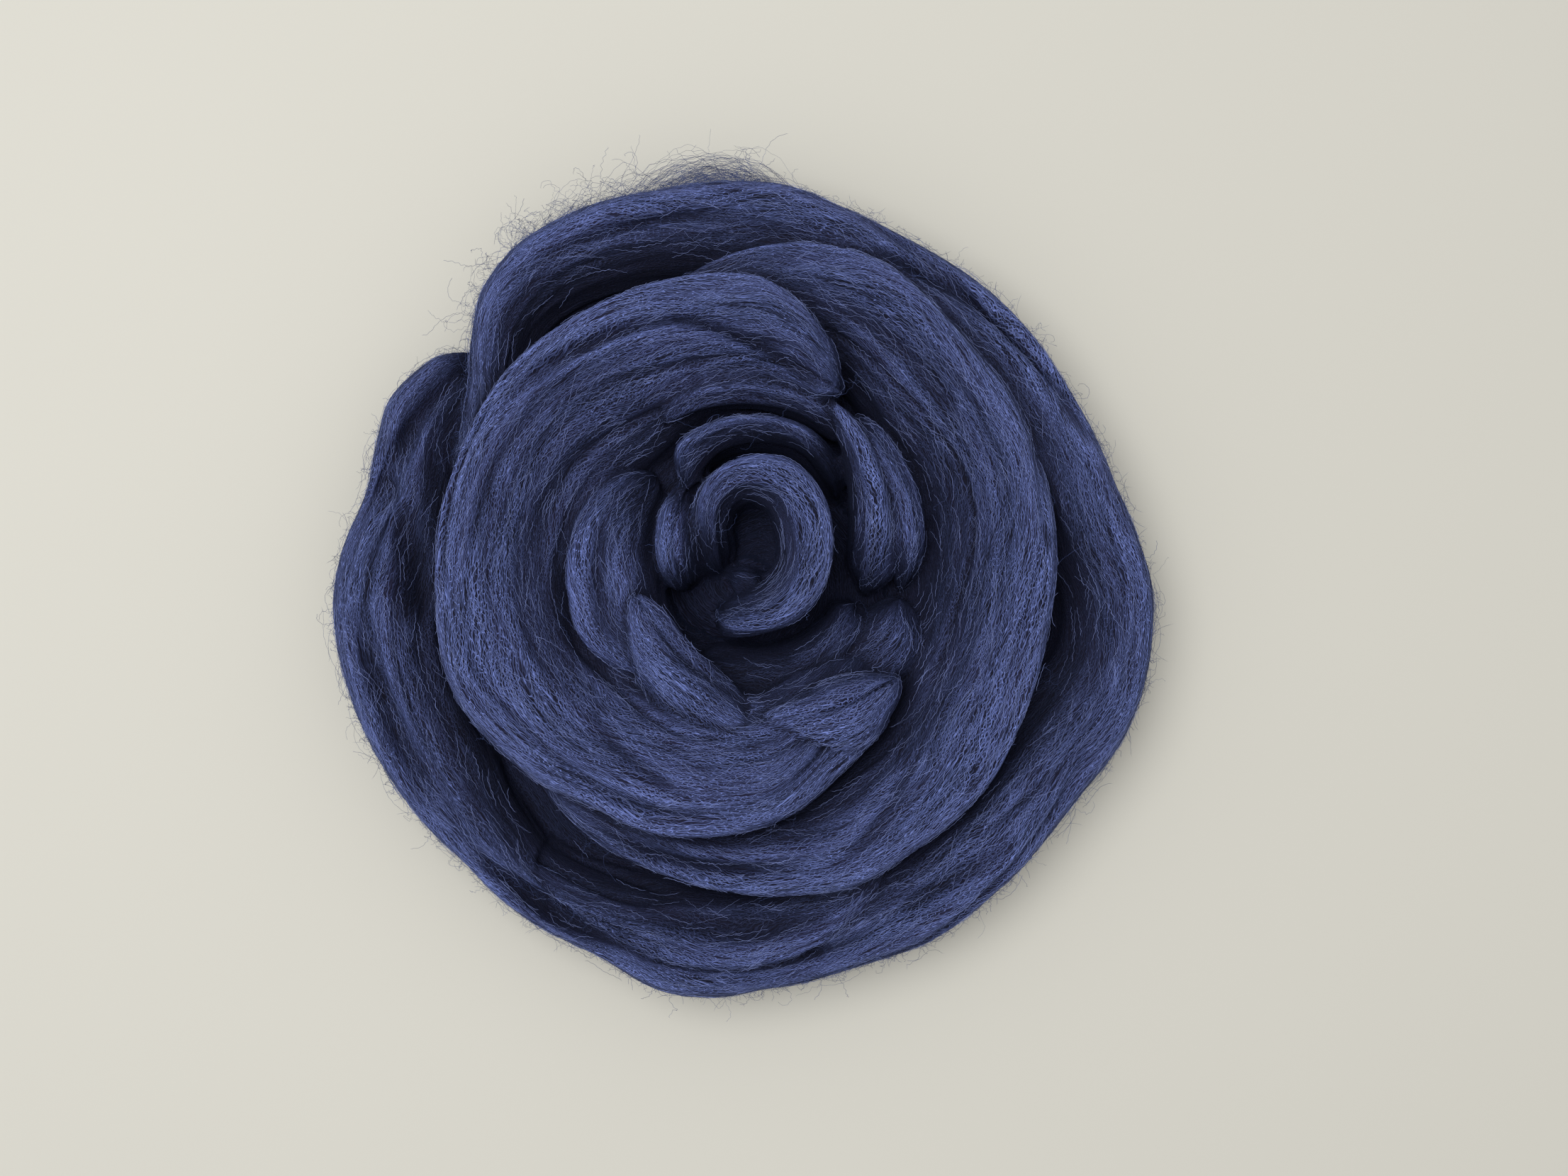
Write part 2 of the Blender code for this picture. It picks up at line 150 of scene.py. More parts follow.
MIDDLE_TURN = sections(
    (208, 62.0, 46.0, 16, 6, 9),
    (223, 68.2, 50.0, 18, 6, 11),
    (239, 70.7, 50.0, 20, 6, 12),
    (252, 71.8, 49.0, 21, 5, 12),
    (268, 73.2, 47.0, 23, 4, 13),
    (284, 75.5, 44.0, 25, 3, 14),
    (291, 76.3, 42.0, 26, 2, 15),
    (303, 74.4, 40.0, 27, 1, 15),
    (322, 73.8, 38.0, 28, 0, 15),
    (334, 72.3, 37.0, 28, 0, 15),
    (352, 72.0, 38.5, 28, 0, 15),
    (365, 73.7, 41.0, 28, 0, 15),
    (380, 75.6, 44.5, 28, 0, 15),
    (396, 78.2, 46.0, 28, 1, 15),
    (410, 80.0, 47.0, 28, 2, 14),
    (425, 83.8, 51.0, 27, 3, 13),
    (436, 83.3, 54.0, 26, 4, 11),
    (447, 81.0, 55.0, 25, 5, 10),
    (458, 76.9, 55.0, 23, 6, 9),
    (468, 72.0, 54.0, 18, 8, 7),
)

UPPER_TURN = sections(
    (63, 56.0, 48.0, 29, 22, 7),
    (69, 61.4, 44.0, 29, 17, 10),
    (77, 67.8, 42.0, 30, 12, 14),
    (86, 72.9, 39.0, 30, 6, 16),
    (100, 74.0, 37.0, 30, 3, 17),
    (120, 74.6, 36.0, 30, 2, 17),
    (136, 75.4, 36.0, 30, 1, 17),
    (156, 74.0, 36.0, 30, 1, 17),
    (180, 72.7, 35.0, 30, 2, 17),
    (198, 72.9, 32.0, 30, 4, 17),
    (212, 69.6, 28.0, 30, 8, 16),
    (224, 66.6, 26.0, 30, 12, 15),
    (235, 63.0, 25.0, 31, 16, 14),
    (250, 61.7, 24.0, 32, 18, 13),
    (265, 58.5, 24.0, 32, 19, 12),
    (280, 54.4, 25.0, 32, 20, 12),
    (298, 48.9, 24.0, 31, 20, 11),
    (315, 46.8, 24.0, 29, 17, 9),
    (329, 44.2, 24.0, 24, 15, 7),
)

LEFT_FOLD = sections(
    (146, 36.0, 21.0, 12, 5, 5),
    (165, 40.6, 20.5, 17, 6, 8),
    (183, 43.3, 21.0, 23, 8, 11),
    (199, 44.8, 22.0, 27, 11, 12),
    (211, 45.8, 24.0, 28, 13, 11),
    (224, 43.8, 26.0, 27, 17, 9),
    (238, 41.0, 28.0, 26, 20, 7),
)

POINTED_FOLD = sections(
    (205, 33.0, 27.5, 27, 30, 5),
    (214, 36.0, 26.2, 27, 31, 6),
    (224, 40.0, 25.2, 28, 31, 7),
    (238, 43.5, 26.4, 27, 29, 8),
    (253, 46.0, 29.2, 27, 26, 8),
    (264, 48.0, 33.5, 27, 24, 8),
    (274, 47.0, 40.0, 27, 25, 6),
)

FRONT_FOLD = sections(
    (270, 47.0, 42.5, 27, 28, 4),
    (279, 49.3, 39.0, 28, 30, 6),
    (289, 54.0, 38.0, 31, 31, 8),
    (300, 55.6, 37.7, 31, 31, 8),
    (310, 52.6, 40.5, 28, 30, 7),
    (318, 50.5, 45.0, 26, 28, 4),
)

VALLEY_FOLD = sections(
    (246, 37.0, 27.0, 13, 11, 5),
    (262, 40.5, 25.0, 13, 9, 8),
    (280, 41.0, 25.0, 14, 10, 9),
    (298, 37.5, 25.0, 17, 13, 9),
    (315, 36.5, 24.5, 18, 13, 9),
    (330, 35.5, 24.0, 15, 11, 7),
)

LOW_RIGHT_FOLD = sections(
    (300, 42.0, 36.0, 13, 13, 5),
    (314, 47.5, 33.5, 18, 15, 7),
    (326, 48.5, 32.5, 18, 15, 7),
    (340, 44.0, 34.0, 13, 12, 6),
)

RIGHT_FOLD = sections(
    (-24, 33.0, 27.0, 9, 9, 5),
    (-13, 35.0, 24.0, 14, 14, 10),
    (2, 35.0, 23.8, 18, 18, 14),
    (16, 35.5, 25.2, 18, 18, 15),
    (32, 37.0, 28.0, 18, 18, 14),
    (48, 38.6, 32.0, 19, 18, 12),
    (62, 40.0, 36.5, 20, 19, 8),
)

RIGHT_EDGE_FOLD = sections(
    (-18, 41.0, 36.0, 9, 9, 5),
    (0, 43.5, 32.0, 14, 17, 11),
    (16, 43.5, 32.5, 15, 18, 12),
    (34, 42.0, 33.5, 16, 18, 12),
    (50, 40.8, 36.5, 18, 16, 7),
)

OUTER_ARC = sections(
    (48, 37.5, 31.5, 18, 12, 7),
    (66, 38.0, 31.5, 23, 14, 8),
    (90, 38.0, 31.5, 25, 15, 8),
    (112, 38.5, 32.0, 25, 15, 7),
    (128, 38.0, 33.0, 22, 15, 5),
)

INNER_ARC = sections(
    (24, 26.0, 22.0, 7, 6, 5),
    (42, 29.0, 22.5, 14, 8, 8),
    (62, 30.2, 23.0, 23, 10, 11),
    (88, 30.2, 22.5, 26, 11, 12),
    (110, 30.0, 21.0, 27, 11, 12),
    (128, 29.4, 18.0, 25, 11, 11),
    (142, 26.0, 16.0, 21, 12, 9),
)

CURL = sections(
    (-118, 24.5, 13.0, 17, 6, 9),
    (-104, 24.6, 11.0, 20, 8, 13),
    (-90, 24.2, 9.4, 24, 10, 16),
    (-62, 23.6, 8.4, 27, 13, 18),
    (-30, 21.6, 7.4, 29, 14, 18),
    (0, 20.6, 6.4, 29, 14, 18),
    (30, 21.2, 6.8, 28, 13, 17),
    (60, 21.9, 8.6, 27, 12, 16),
    (90, 20.6, 9.4, 25, 10, 16),
    (120, 18.6, 8.0, 23, 9, 15),
    (148, 15.8, 5.4, 20, 9, 13),
    (168, 13.8, 4.2, 17, 8, 12),
    (190, 13.4, 3.8, 14, 7, 10),
    (212, 13.6, 4.6, 11, 6, 8),
    (232, 14.0, 6.0, 8, 6, 6),
)

LEFT_TUFT = sections(
    (136, 23.0, 15.0, 10, 6, 6),
    (158, 23.0, 12.5, 17, 9, 12),
    (180, 22.5, 11.5, 21, 12, 14),
    (198, 22.5, 12.0, 21, 12, 13),
    (218, 22.0, 14.0, 14, 8, 9),
)

SMALL_TUFT = sections(
    (-128, 11.0, 7.0, 8, 8, 4),
    (-108, 11.8, 6.0, 11, 10, 7),
    (-84, 11.6, 6.4, 11, 10, 7),
    (-64, 10.8, 7.4, 8, 8, 4),
)

# painted shade in the gaps between the turns
POCKETS = (
    Pocket(92, 138, 79.5, 6.5, 0.50),
    Pocket(-28, 12, 78.0, 6.0, 0.40),
    Pocket(210, 264, 78.5, 5.0, 0.35),
    Pocket(36, 92, 85.0, 7.0, 0.22),
)

OUTER_FURROWS = (
    Furrow(141, 86.0, 172, 90.0, 1.8, 5.0),
    Furrow(182, 90.5, 216, 88.5, 2.2, 6.0),
    Furrow(166, 81.0, 186, 78.0, 3.0, 6.0),
    Furrow(224, 90.4, 256, 90.4, 1.8, 9.0),
    Furrow(252, 92.6, 292, 88.0, 1.8, 7.0),
    Furrow(296, 84.0, 318, 88.0, 2.2, 4.0),
    Furrow(382, 88.5, 430, 84.5, 1.8, 7.0),
    Furrow(450, 88.0, 482, 92.0, 1.8, 4.0),
)

LOWER_FURROWS = (Furrow(252, 81.0, 286, 81.5, 2.0, 5.0),)

MIDDLE_FURROWS = (
    Furrow(236, 66.5, 284, 66.0, 2.0, 6.0),
    Furrow(288, 69.0, 314, 58.0, 2.0, 4.0),
    Furrow(394, 62.0, 434, 72.0, 2.2, 5.0),
)

UPPER_FURROWS = (
    Furrow(68, 49.5, 106, 64.4, 1.5, 7.0),
    Furrow(96, 62.0, 150, 70.8, 1.3, 6.0),
    Furrow(218, 45.0, 262, 50.0, 1.8, 4.0),
    Furrow(222, 58.5, 270, 52.0, 1.6, 4.0),
)

LEFT_FURROWS = (Furrow(172, 34.0, 216, 38.0, 1.6, 4.0),)

TURNS = (
    Band("outer_turn", COIL_CENTRE, OUTER_TURN, 12.0, 0.0, 0.02, 9.0, 1.0, OUTER_FURROWS),
    Band("lower_turn", COIL_CENTRE, LOWER_TURN, 12.0, LAP_CLEARANCE, 0.0, 8.0, 1.0, LOWER_FURROWS),
    Band("middle_turn", COIL_CENTRE, MIDDLE_TURN, 12.0, LAP_CLEARANCE, 0.02, 9.0, 1.0, MIDDLE_FURROWS),
    Band("upper_turn", COIL_CENTRE, UPPER_TURN, 14.0, LAP_CLEARANCE, 0.03, 7.0, 1.0, UPPER_FURROWS),
)


def fold(name, rows, underside, tip, ridged=1.0, furrows=()):
    """A short band round the eye."""
    return Band(name, EYE, rows, underside, LAP_CLEARANCE, 0.0, tip, ridged, furrows)


FOLDS = (
    fold("left_fold", LEFT_FOLD, 12.0, 6.0, furrows=LEFT_FURROWS),
    fold("pointed_fold", POINTED_FOLD, 8.0, 7.0),
    fold("front_fold", FRONT_FOLD, 8.0, 5.0),
    fold("valley_fold", VALLEY_FOLD, 10.0, 5.0),
    fold("low_right_fold", LOW_RIGHT_FOLD, 10.0, 9.0),
    fold("right_fold", RIGHT_FOLD, 12.0, 9.0),
    fold("right_edge_fold", RIGHT_EDGE_FOLD, 10.0, 8.0),
    fold("outer_arc", OUTER_ARC, 10.0, 5.0),
    fold("inner_arc", INNER_ARC, 10.0, 8.0),
    fold("curl", CURL, 12.0, 6.0),
    fold("left_tuft", LEFT_TUFT, 10.0, 4.0, ridged=0.5),
    fold("small_tuft", SMALL_TUFT, 8.0, 4.0),
)

# The hidden first turns, flattened against the table: one wide turn, then a spiral to the middle.
HIDDEN_TURNS = 3.4
HIDDEN_START = 180.0
HIDDEN_RIM = 80.0
HIDDEN_RIM_Z = 5.0
HIDDEN_SWELL = 4.0
HIDDEN_OVERLAP = 1.0
HIDDEN_TIP = 8.0
HIDDEN_STEPS = 16  # sections to a turn


def hidden_band():
    """The flattened spiral under the visible turns."""
    rows = []
    for step in range(int(HIDDEN_TURNS * HIDDEN_STEPS) + 1):
        turns = step / HIDDEN_STEPS
        rim = HIDDEN_RIM - STRAND_WIDTH * max(0.0, turns - 1)
        inner = rim - STRAND_WIDTH - HIDDEN_OVERLAP
        bearing = HIDDEN_START + 360 * turns
        rows.append((bearing, rim, inner, HIDDEN_RIM_Z, HIDDEN_RIM_Z, HIDDEN_SWELL))
    belly = HIDDEN_RIM_Z + FLOOR_SINK
    return Band("hidden_turns", COIL_CENTRE, sections(*rows), belly, 0.0, 0.0, HIDDEN_TIP, 0.0, ())


# ----------------------------------------------------------
# Shaping
# ----------------------------------------------------------

TOP_FROM, TOP_TO = -80.0, 200.0  # degrees round a section that can show, from the rim to the inner edge
ARCH = 1.35  # length of a section's back for each millimetre of its width
BELLY_SHARE = 6  # columns on the back for each one on the belly
FEWEST_COLUMNS = (20, 6)  # on a section's back and on its belly
BLUNT = 0.02  # of a band's full size, squared, that is left at its very ends
NOISE_CELLS = 97
BAND_OFFSET = 211.0  # between the strand maps of two bands, in mm

# The steps along and round a loft, in mm.
TURN_STEPS = (1.5, 0.8)
FOLD_STEPS = (1.0, 0.6)
HIDDEN_BAND_STEPS = (3.0, 1.6)

SKIN_CELL = 0.92  # of the grid that merges the bands, in mm
SKIN_SMOOTHING = 10
RELIEF_ROUNDS = 16  # of evening out, which reach about 2.6 mm

# One kind of groove between locks. spacing is across the strand from one to the next and length is along
# it, in mm, and depth is its share of the full depth.
Groove = namedtuple("Groove", "seed spacing length depth")
GROOVES = (Groove(5, 11.0, 80, 1.0), Groove(7, 5.5, 45, 0.4))
GROOVE_WIDTH = 1.5  # from its middle to where little of it is left, in mm

# The light that each point of the skin gets, painted into the wool's colour as painted shade.
SKY_WAYS = 16
SKY_STEPS = (1.5, 2.5, 4.0, 6.0, 9.0, 13.0, 18.0, 25.0, 34.0)  # how far off each way is looked, in mm
MAP_REACH = 128  # of the map of heights from its middle, with a cell for each mm
LIFT = 0.8  # how far over the skin a point looks from, in mm
BURIED_FROM, BURIED_FADE = 2.5, 6.0  # how deep under another fold light starts to fade, and how fast, in mm
ROSE = (62.0, 50.0)  # radii over which the coil's rose begins, in mm
ROSE_DEPTHS = (18.0, 4.0)  # heights over which the rose loses ROSE_LOSS of its light, in mm
ROSE_LOSS = 0.10
LOW_DEPTHS = (34.0, 14.0)  # heights over which the whole coil loses LOW_LOSS of it, in mm
LOW_LOSS = 0.12
POCKET_TOP = (24.0, 30.0)  # heights over which a pocket stops, in mm
# painted shade where two bands meet
SEAM_LIGHT = 0.85  # of the light is left where two bands meet

UNDERSIDE_UP = -0.3  # highest upward part of an underside's normal
UNDERSIDE_TOP = 14.0  # highest that the underside goes, in mm
UNDERSIDE_FACES = 0.15  # of its faces are kept


def lattice(x, y, seed):
    """Smooth noise from -1 to 1 over a plane, with cells one unit wide."""
    grid = np.random.default_rng(seed).uniform(-1, 1, (NOISE_CELLS, NOISE_CELLS))
    column = np.floor(x).astype(int)
    row = np.floor(y).astype(int)
    share_x = x - column
    share_y = y - row
    share_x = share_x * share_x * (3 - 2 * share_x)
    share_y = share_y * share_y * (3 - 2 * share_y)
    near = grid[column % NOISE_CELLS, row % NOISE_CELLS] * (1 - share_x)
    near = near + grid[(column + 1) % NOISE_CELLS, row % NOISE_CELLS] * share_x
    far = grid[column % NOISE_CELLS, (row + 1) % NOISE_CELLS] * (1 - share_x)
    far = far + grid[(column + 1) % NOISE_CELLS, (row + 1) % NOISE_CELLS] * share_x
    return near * (1 - share_y) + far * share_y


def unit(vectors):
    return vectors / (np.linalg.norm(vectors, axis=-1, keepdims=True) + 1e-9)


def ramp(values, start, end):
    """From 0 at start to 1 at end, whichever of them is the larger."""
    return np.clip((values - start) / (end - start), 0, 1)


def running_total(steps):
    return np.concatenate([[0], np.cumsum(steps)])


def map_cells(places):
    """Where places lie on the map of heights, as columns and rows."""
    return tuple(np.clip((places + MAP_REACH).astype(int), 0, 2 * MAP_REACH - 1).T)


def through_rows(sections, bearings):
    """The sections' values at each bearing, on a smooth curve through the table's rows."""
    rows = np.array(sections, float)
    last = len(rows) - 2
    index = np.clip(np.searchsorted(rows[:, 0], bearings, side="right") - 1, 0, last)
    before = rows[np.maximum(index - 1, 0)]
    start = rows[index]
    end = rows[index + 1]
    after = rows[np.minimum(index + 2, last + 1)]
    share = ((bearings - start[:, 0]) / (end[:, 0] - start[:, 0]))[:, None]
    lean_in = (end - before) / 2
    lean_out = (after - start) / 2
    square = share * share
    cube = square * share
    return (
        (2 * cube - 3 * square + 1) * start
        + (cube - 2 * square + share) * lean_in
        + (3 * square - 2 * cube) * end
        + (cube - square) * lean_out
    )


class Loft:
    """A band's surface as a grid of points in millimetres: rows along the strand and columns round it."""

    def __init__(self, band, steps):
        self.band = band
        along, around = steps
        fewest_top, fewest_below = FEWEST_COLUMNS
        first, last = band.sections[0].bearing, band.sections[-1].bearing
        widest = max(section.rim for section in band.sections)
        width = max(section.rim - section.inner for section in band.sections)
        rows = int(math.radians(last - first) * widest / along) + 2
        top = max(int(ARCH * width / around), fewest_top)
        below = np.linspace(TOP_TO, TOP_FROM + 360, max(top // BELLY_SHARE, fewest_below) + 2)[1:-1]
        turns = np.radians(np.concatenate([np.linspace(TOP_FROM, TOP_TO, top), below]))
        bearings = np.linspace(first, last, rows)
        self.points = self.place(bearings, turns)
        self.measure(turns)

    def place(self, bearings, turns):
        """The surface at each bearing, in rows, and each angle round its section, in columns."""
        band = self.band
        values = through_rows(band.sections, bearings)
        rim, inner, rim_z, inner_z, swell = (values[:, k, None] for k in range(1, 6))
        to_end = np.minimum(bearings - bearings[0], bearings[-1] - bearings)[:, None]
        to_end = np.radians(to_end) * np.abs(rim)
        size = np.sqrt(np.clip(1 - np.clip(1 - to_end / band.tip, 0, 1) ** 2, BLUNT, 1))
        cos, sin = np.cos(turns)[None, :], np.sin(turns)[None, :]
        rise = np.where(sin > 0, swell, band.underside)
        radius = (rim + inner) / 2 + (rim - inner) / 2 * cos * size
        height = (rim_z + inner_z) / 2 + ((rim_z - inner_z) / 2 * cos + rise * sin) * size
        height = np.maximum(self.creased(height, radius, bearings, sin > 0), band.lowest)

        # each row's section without its creases, for the method around
        middle, half = (rim + inner) / 2, (rim - inner) / 2 * size
        level, tilt = (rim_z + inner_z) / 2, (rim_z - inner_z) / 2 * size
        self.shape = (middle, half, level, tilt, swell * size)

        angle = np.radians(bearings)[:, None]
        x = band.centre[0] + radius * np.cos(angle)
        y = band.centre[1] + radius * np.sin(angle)
        return np.stack([x, y, height], axis=2)

    def creased(self, height, radius, bearings, on_back):
        """The height with the band's furrows cut into it."""
        for furrow in self.band.furrows:
            share = (bearings[:, None] - furrow.start) / (furrow.end - furrow.start)
            inside = (share > 0) & (share < 1) & on_back
            middle = furrow.start_radius + (furrow.end_radius - furrow.start_radius) * share
            across = (radius - middle) / furrow.width
            depth = furrow.depth * np.sin(np.pi * np.clip(share, 0, 1)) ** 0.7 * np.exp(-(across**2))
            height = height - np.where(inside, depth, 0.0)
        return height

    def measure(self, turns):
        """How far each row is along the strand and each column round it."""
        line = self.points[:, :, :2].mean(axis=1)
        self.u = running_total(np.linalg.norm(np.diff(line, axis=0), axis=1))
        closed = np.concatenate([self.points, self.points[:, :1]], axis=1)
        self.v = running_total(np.percentile(np.linalg.norm(np.diff(closed, axis=1), axis=2), 75, axis=0))
        self.turns = np.append(turns, math.radians(TOP_FROM + 360))

    def around(self, rows, points):
        """How far round the strand points lie that are at these rows, whatever creases they are in."""
        places = np.arange(len(self.u))
        middle, half, level, tilt, swell = (np.interp(rows, places, column.ravel()) for column in self.shape)
        radius = np.hypot(points[:, 0] - self.band.centre[0], points[:, 1] - self.band.centre[1])
        across = (radius - middle) / half
        up = (points[:, 2] - level - tilt * across) / swell
        on_wall = np.where(up < 0, 1.0, ramp(np.abs(across), 0.5, 1.0))
        angle = np.arccos(np.clip(across, -1, 1)) * (1 - on_wall) + np.arctan2(up, across) * on_wall
        angle = np.where(angle < self.turns[0], angle + 2 * math.pi, angle)
        return np.interp(angle, self.turns, self.v)

    def quads(self):
        rows, columns = self.points.shape[:2]
        row = np.arange(rows - 1)[:, None]
        column = np.arange(columns)[None, :]
        after = (column + 1) % columns
        corners = [row * columns + column, row * columns + after, (row + 1) * columns + after]
        corners.append((row + 1) * columns + column)
        return np.stack([np.broadcast_to(c, (rows - 1, columns)) for c in corners], axis=2).reshape(-1, 4)

    def caps(self):
        """The two ends, as one polygon each."""
        rows, columns = self.points.shape[:2]
        return [list(range(columns))[::-1], [(rows - 1) * columns + k for k in range(columns)]]


def merge(lofts):
    """All lofts as one skin of even quads, as points in millimetres and faces."""
    points, faces = [], []
    start = 0
    for loft in lofts:
        grid = loft.points.reshape(-1, 3)
        points.append(grid)
        faces += (loft.quads() + start).tolist()
        faces += [[start + k for k in cap] for cap in loft.caps()]
        start += len(grid)
    data = bpy.data.meshes.new("lofts")
    data.from_pydata(np.vstack(points) * MM, [], faces)
    joined = bpy.data.objects.new("lofts", data)
    bpy.context.scene.collection.objects.link(joined)
    remesh = joined.modifiers.new("merge", "REMESH")
    remesh.mode = "VOXEL"
    remesh.voxel_size = SKIN_CELL * MM
    smooth = joined.modifiers.new("soften", "SMOOTH")
    smooth.factor = 0.5
    smooth.iterations = SKIN_SMOOTHING
    bpy.context.view_layer.update()
    evaluated = joined.evaluated_get(bpy.context.evaluated_depsgraph_get())
    made = evaluated.to_mesh()
    spots = np.empty(len(made.vertices) * 3, np.float32)
    made.vertices.foreach_get("co", spots)
    corners = np.empty(len(made.loops), np.int32)
    made.loops.foreach_get("vertex_index", corners)
    spots, corners = spots.reshape(-1, 3).astype(float) / MM, corners.reshape(-1, 4)
    evaluated.to_mesh_clear()
    bpy.data.objects.remove(joined)
    bpy.data.meshes.remove(data)
    return outer_shell(spots, corners)


def outer_shell(points, quads):
    """The skin without the closed hollows inside it."""
    label = np.arange(len(points))
    ends = np.concatenate([quads[:, [0, 1]], quads[:, [1, 2]], quads[:, [2, 3]]])
    while True:
        low = label[ends].min(axis=1)
        before = label.copy()
        np.minimum.at(label, ends[:, 0], low)
        np.minimum.at(label, ends[:, 1], low)
        label = label[label]
        if (label == before).all():
            break
    names, sizes = np.unique(label, return_counts=True)
    keep = label == names[sizes.argmax()]
    number = np.cumsum(keep) - 1
    return points[keep], number[quads[keep[quads[:, 0]]]]


def vertex_normals(points, quads):
    corners = points[quads]
    face = np.cross(corners[:, 2] - corners[:, 0], corners[:, 3] - corners[:, 1])
    total = np.zeros_like(points)
    for axis in range(3):
        total[:, axis] = np.bincount(quads.ravel(), np.repeat(face[:, axis], 4), len(points))
    return unit(total)


class Skin:
    """The merged skin. At each point it knows the band, and the millimetres along and round the strand."""

    def __init__(self, lofts, sizes):
        self.lofts = lofts
        self.points, self.quads = merge(lofts)
        self.normals = vertex_normals(self.points, self.quads)
        self.find_strand()
        self.raise_ridges(sizes)
        # painted light and shade: sky and relief are painted into the wool's colour
        self.sky = self.openness()
        self.relief = self.standing_out()
        # painted shade along the seams where two bands meet
        between = (self.band[self.quads] != self.band[self.quads[:, :1]]).any(axis=1)
        self.sky[np.unique(self.quads[between])] *= SEAM_LIGHT

    def find_strand(self):
        """Each point's band, its run along and round the strand, and the strand's direction there."""
        starts = running_total([len(loft.points.reshape(-1, 3)) for loft in self.lofts])
        polygons = [loft.quads() + start for loft, start in zip(self.lofts, starts)]
        ends = np.cumsum([len(group) for group in polygons])
        grid = np.vstack([loft.points.reshape(-1, 3) for loft in self.lofts])
        polygons = np.vstack(polygons)
        tree = BVHTree.FromPolygons(grid.tolist(), polygons.tolist())
        found = [tree.find_nearest(spot) for spot in self.points.tolist()]
        place = np.array([hit[0] for hit in found])
        face = np.array([hit[2] for hit in found])
        corner = grid[polygons[face]]
        along = corner[:, 3] - corner[:, 0]
        share = ((place - corner[:, 0]) * along).sum(axis=1) / np.maximum((along**2).sum(axis=1), 1e-9)
        self.tangent = unit(along)
        self.band = np.searchsorted(ends, face, side="right")
        self.u, self.v, self.girth, self.run = np.zeros((4, len(face)))
        for number, loft in enumerate(self.lofts):
            here = self.band == number
            local = face[here] - (ends[number - 1] if number else 0)
            row = local // loft.points.shape[1] + np.clip(share[here], 0, 1)
            self.u[here] = np.interp(row, np.arange(len(loft.u)), loft.u)
            self.v[here] = loft.around(row, self.points[here])
            self.girth[here] = loft.v[-1]
            self.run[here] = loft.u[-1]

    def raise_ridges(self, sizes):
        """Locks and the creases between them, along the strand.

        Each noise is divided by the length and the width of its marks, in mm, and has a seed of its own.
        """
        lean = np.array([loft.band.lean for loft in self.lofts])[self.band]
        ridged = np.array([loft.band.ridged for loft in self.lofts])[self.band]
        u = self.u + BAND_OFFSET * self.band
        v = self.v + lean * self.u + 2.4 * lattice(u / 26, self.v / 14, 1)
        rise = sizes.lump_mm * lattice(u / 30, v / 17, 2)
        rise += sizes.lock_mm * (lattice(u / 55, v / 6.0, 3) + 0.5 * lattice(u / 40, v / 2.8, 9))
        rise += sizes.thread_mm * lattice(u / 24, v / 1.6, 4)
        for groove in GROOVES:
            middle = lattice(u / groove.length, v / groove.spacing, groove.seed)
            strength = np.clip(0.3 + 1.5 * lattice(u / 45, v / 13, groove.seed + 1), 0, 1)
            across = middle * groove.spacing / GROOVE_WIDTH
            rise -= sizes.groove_mm * groove.depth * strength * np.exp(-(across**2))
        self.points = self.points + self.normals * (rise * ridged)[:, None]
        self.points[:, 2] = np.maximum(self.points[:, 2], 0.0)
        self.normals = vertex_normals(self.points, self.quads)

    def tree(self):
        return BVHTree.FromPolygons(self.points.tolist(), self.quads.tolist())

    def standing_out(self):
        """How far each point stands out of the skin evened out round it, in mm."""
        even = self.points
        corners = self.quads.ravel()
        uses = np.bincount(corners, minlength=len(even))
        for _ in range(RELIEF_ROUNDS):
            middles = np.repeat(even[self.quads].mean(axis=1), 4, axis=0)
            totals = [np.bincount(corners, middles[:, k], len(even)) for k in range(3)]
            even = np.stack(totals, axis=1) / uses[:, None]
        return ((self.points - even) * self.normals).sum(axis=1)

    def openness(self):
        """The share of the light that each point gets, from the sky that it sees over its neighbours."""
        cells = map_cells(self.points[:, :2])
        heights = np.zeros((2 * MAP_REACH, 2 * MAP_REACH))
        np.maximum.at(heights, cells, self.points[:, 2])
        lifted = self.points + self.normals * LIFT
        seen = np.zeros(len(self.points))
        for k in range(SKY_WAYS):
            angle = 2 * math.pi * k / SKY_WAYS
            way = np.array([math.cos(angle), math.sin(angle)])
            steepest = np.zeros(len(self.points))
            for far in SKY_STEPS:
                over = heights[map_cells(lifted[:, :2] + far * way)] - lifted[:, 2]
                steepest = np.maximum(steepest, over / far)
            seen += 1 / (1 + steepest**2)
        buried = heights[cells] - self.points[:, 2]
        open_air = np.exp(-np.clip(buried - BURIED_FROM, 0, None) / BURIED_FADE)
        in_rose = ramp(np.linalg.norm(self.points[:, :2], axis=1), *ROSE)
        sunk = in_rose * ramp(self.points[:, 2], *ROSE_DEPTHS)
        low = ramp(self.points[:, 2], *LOW_DEPTHS)
        # these shares of light are painted into the wool's colour as painted shade
        light = seen / SKY_WAYS * open_air * (1 - ROSE_LOSS * sunk) * (1 - LOW_LOSS * low)
        return light * self.outside_pockets()

    def outside_pockets(self):
        """The share of the light that the pockets between the turns leave, from 0 to 1."""
        radius = np.hypot(self.points[:, 0], self.points[:, 1])
        bearing = np.degrees(np.arctan2(self.points[:, 1], self.points[:, 0]))
        above = ramp(self.points[:, 2], *POCKET_TOP)
        loss = np.zeros(len(radius))
        for pocket in POCKETS:
            share = (bearing - pocket.start) % 360 / (pocket.end - pocket.start)
            fading = np.sin(np.pi * np.clip(share, 0, 1)) ** 0.7
            loss += pocket.depth * fading * np.exp(-(((radius - pocket.radius) / pocket.reach) ** 2))
        return 1 - loss * (1 - above)


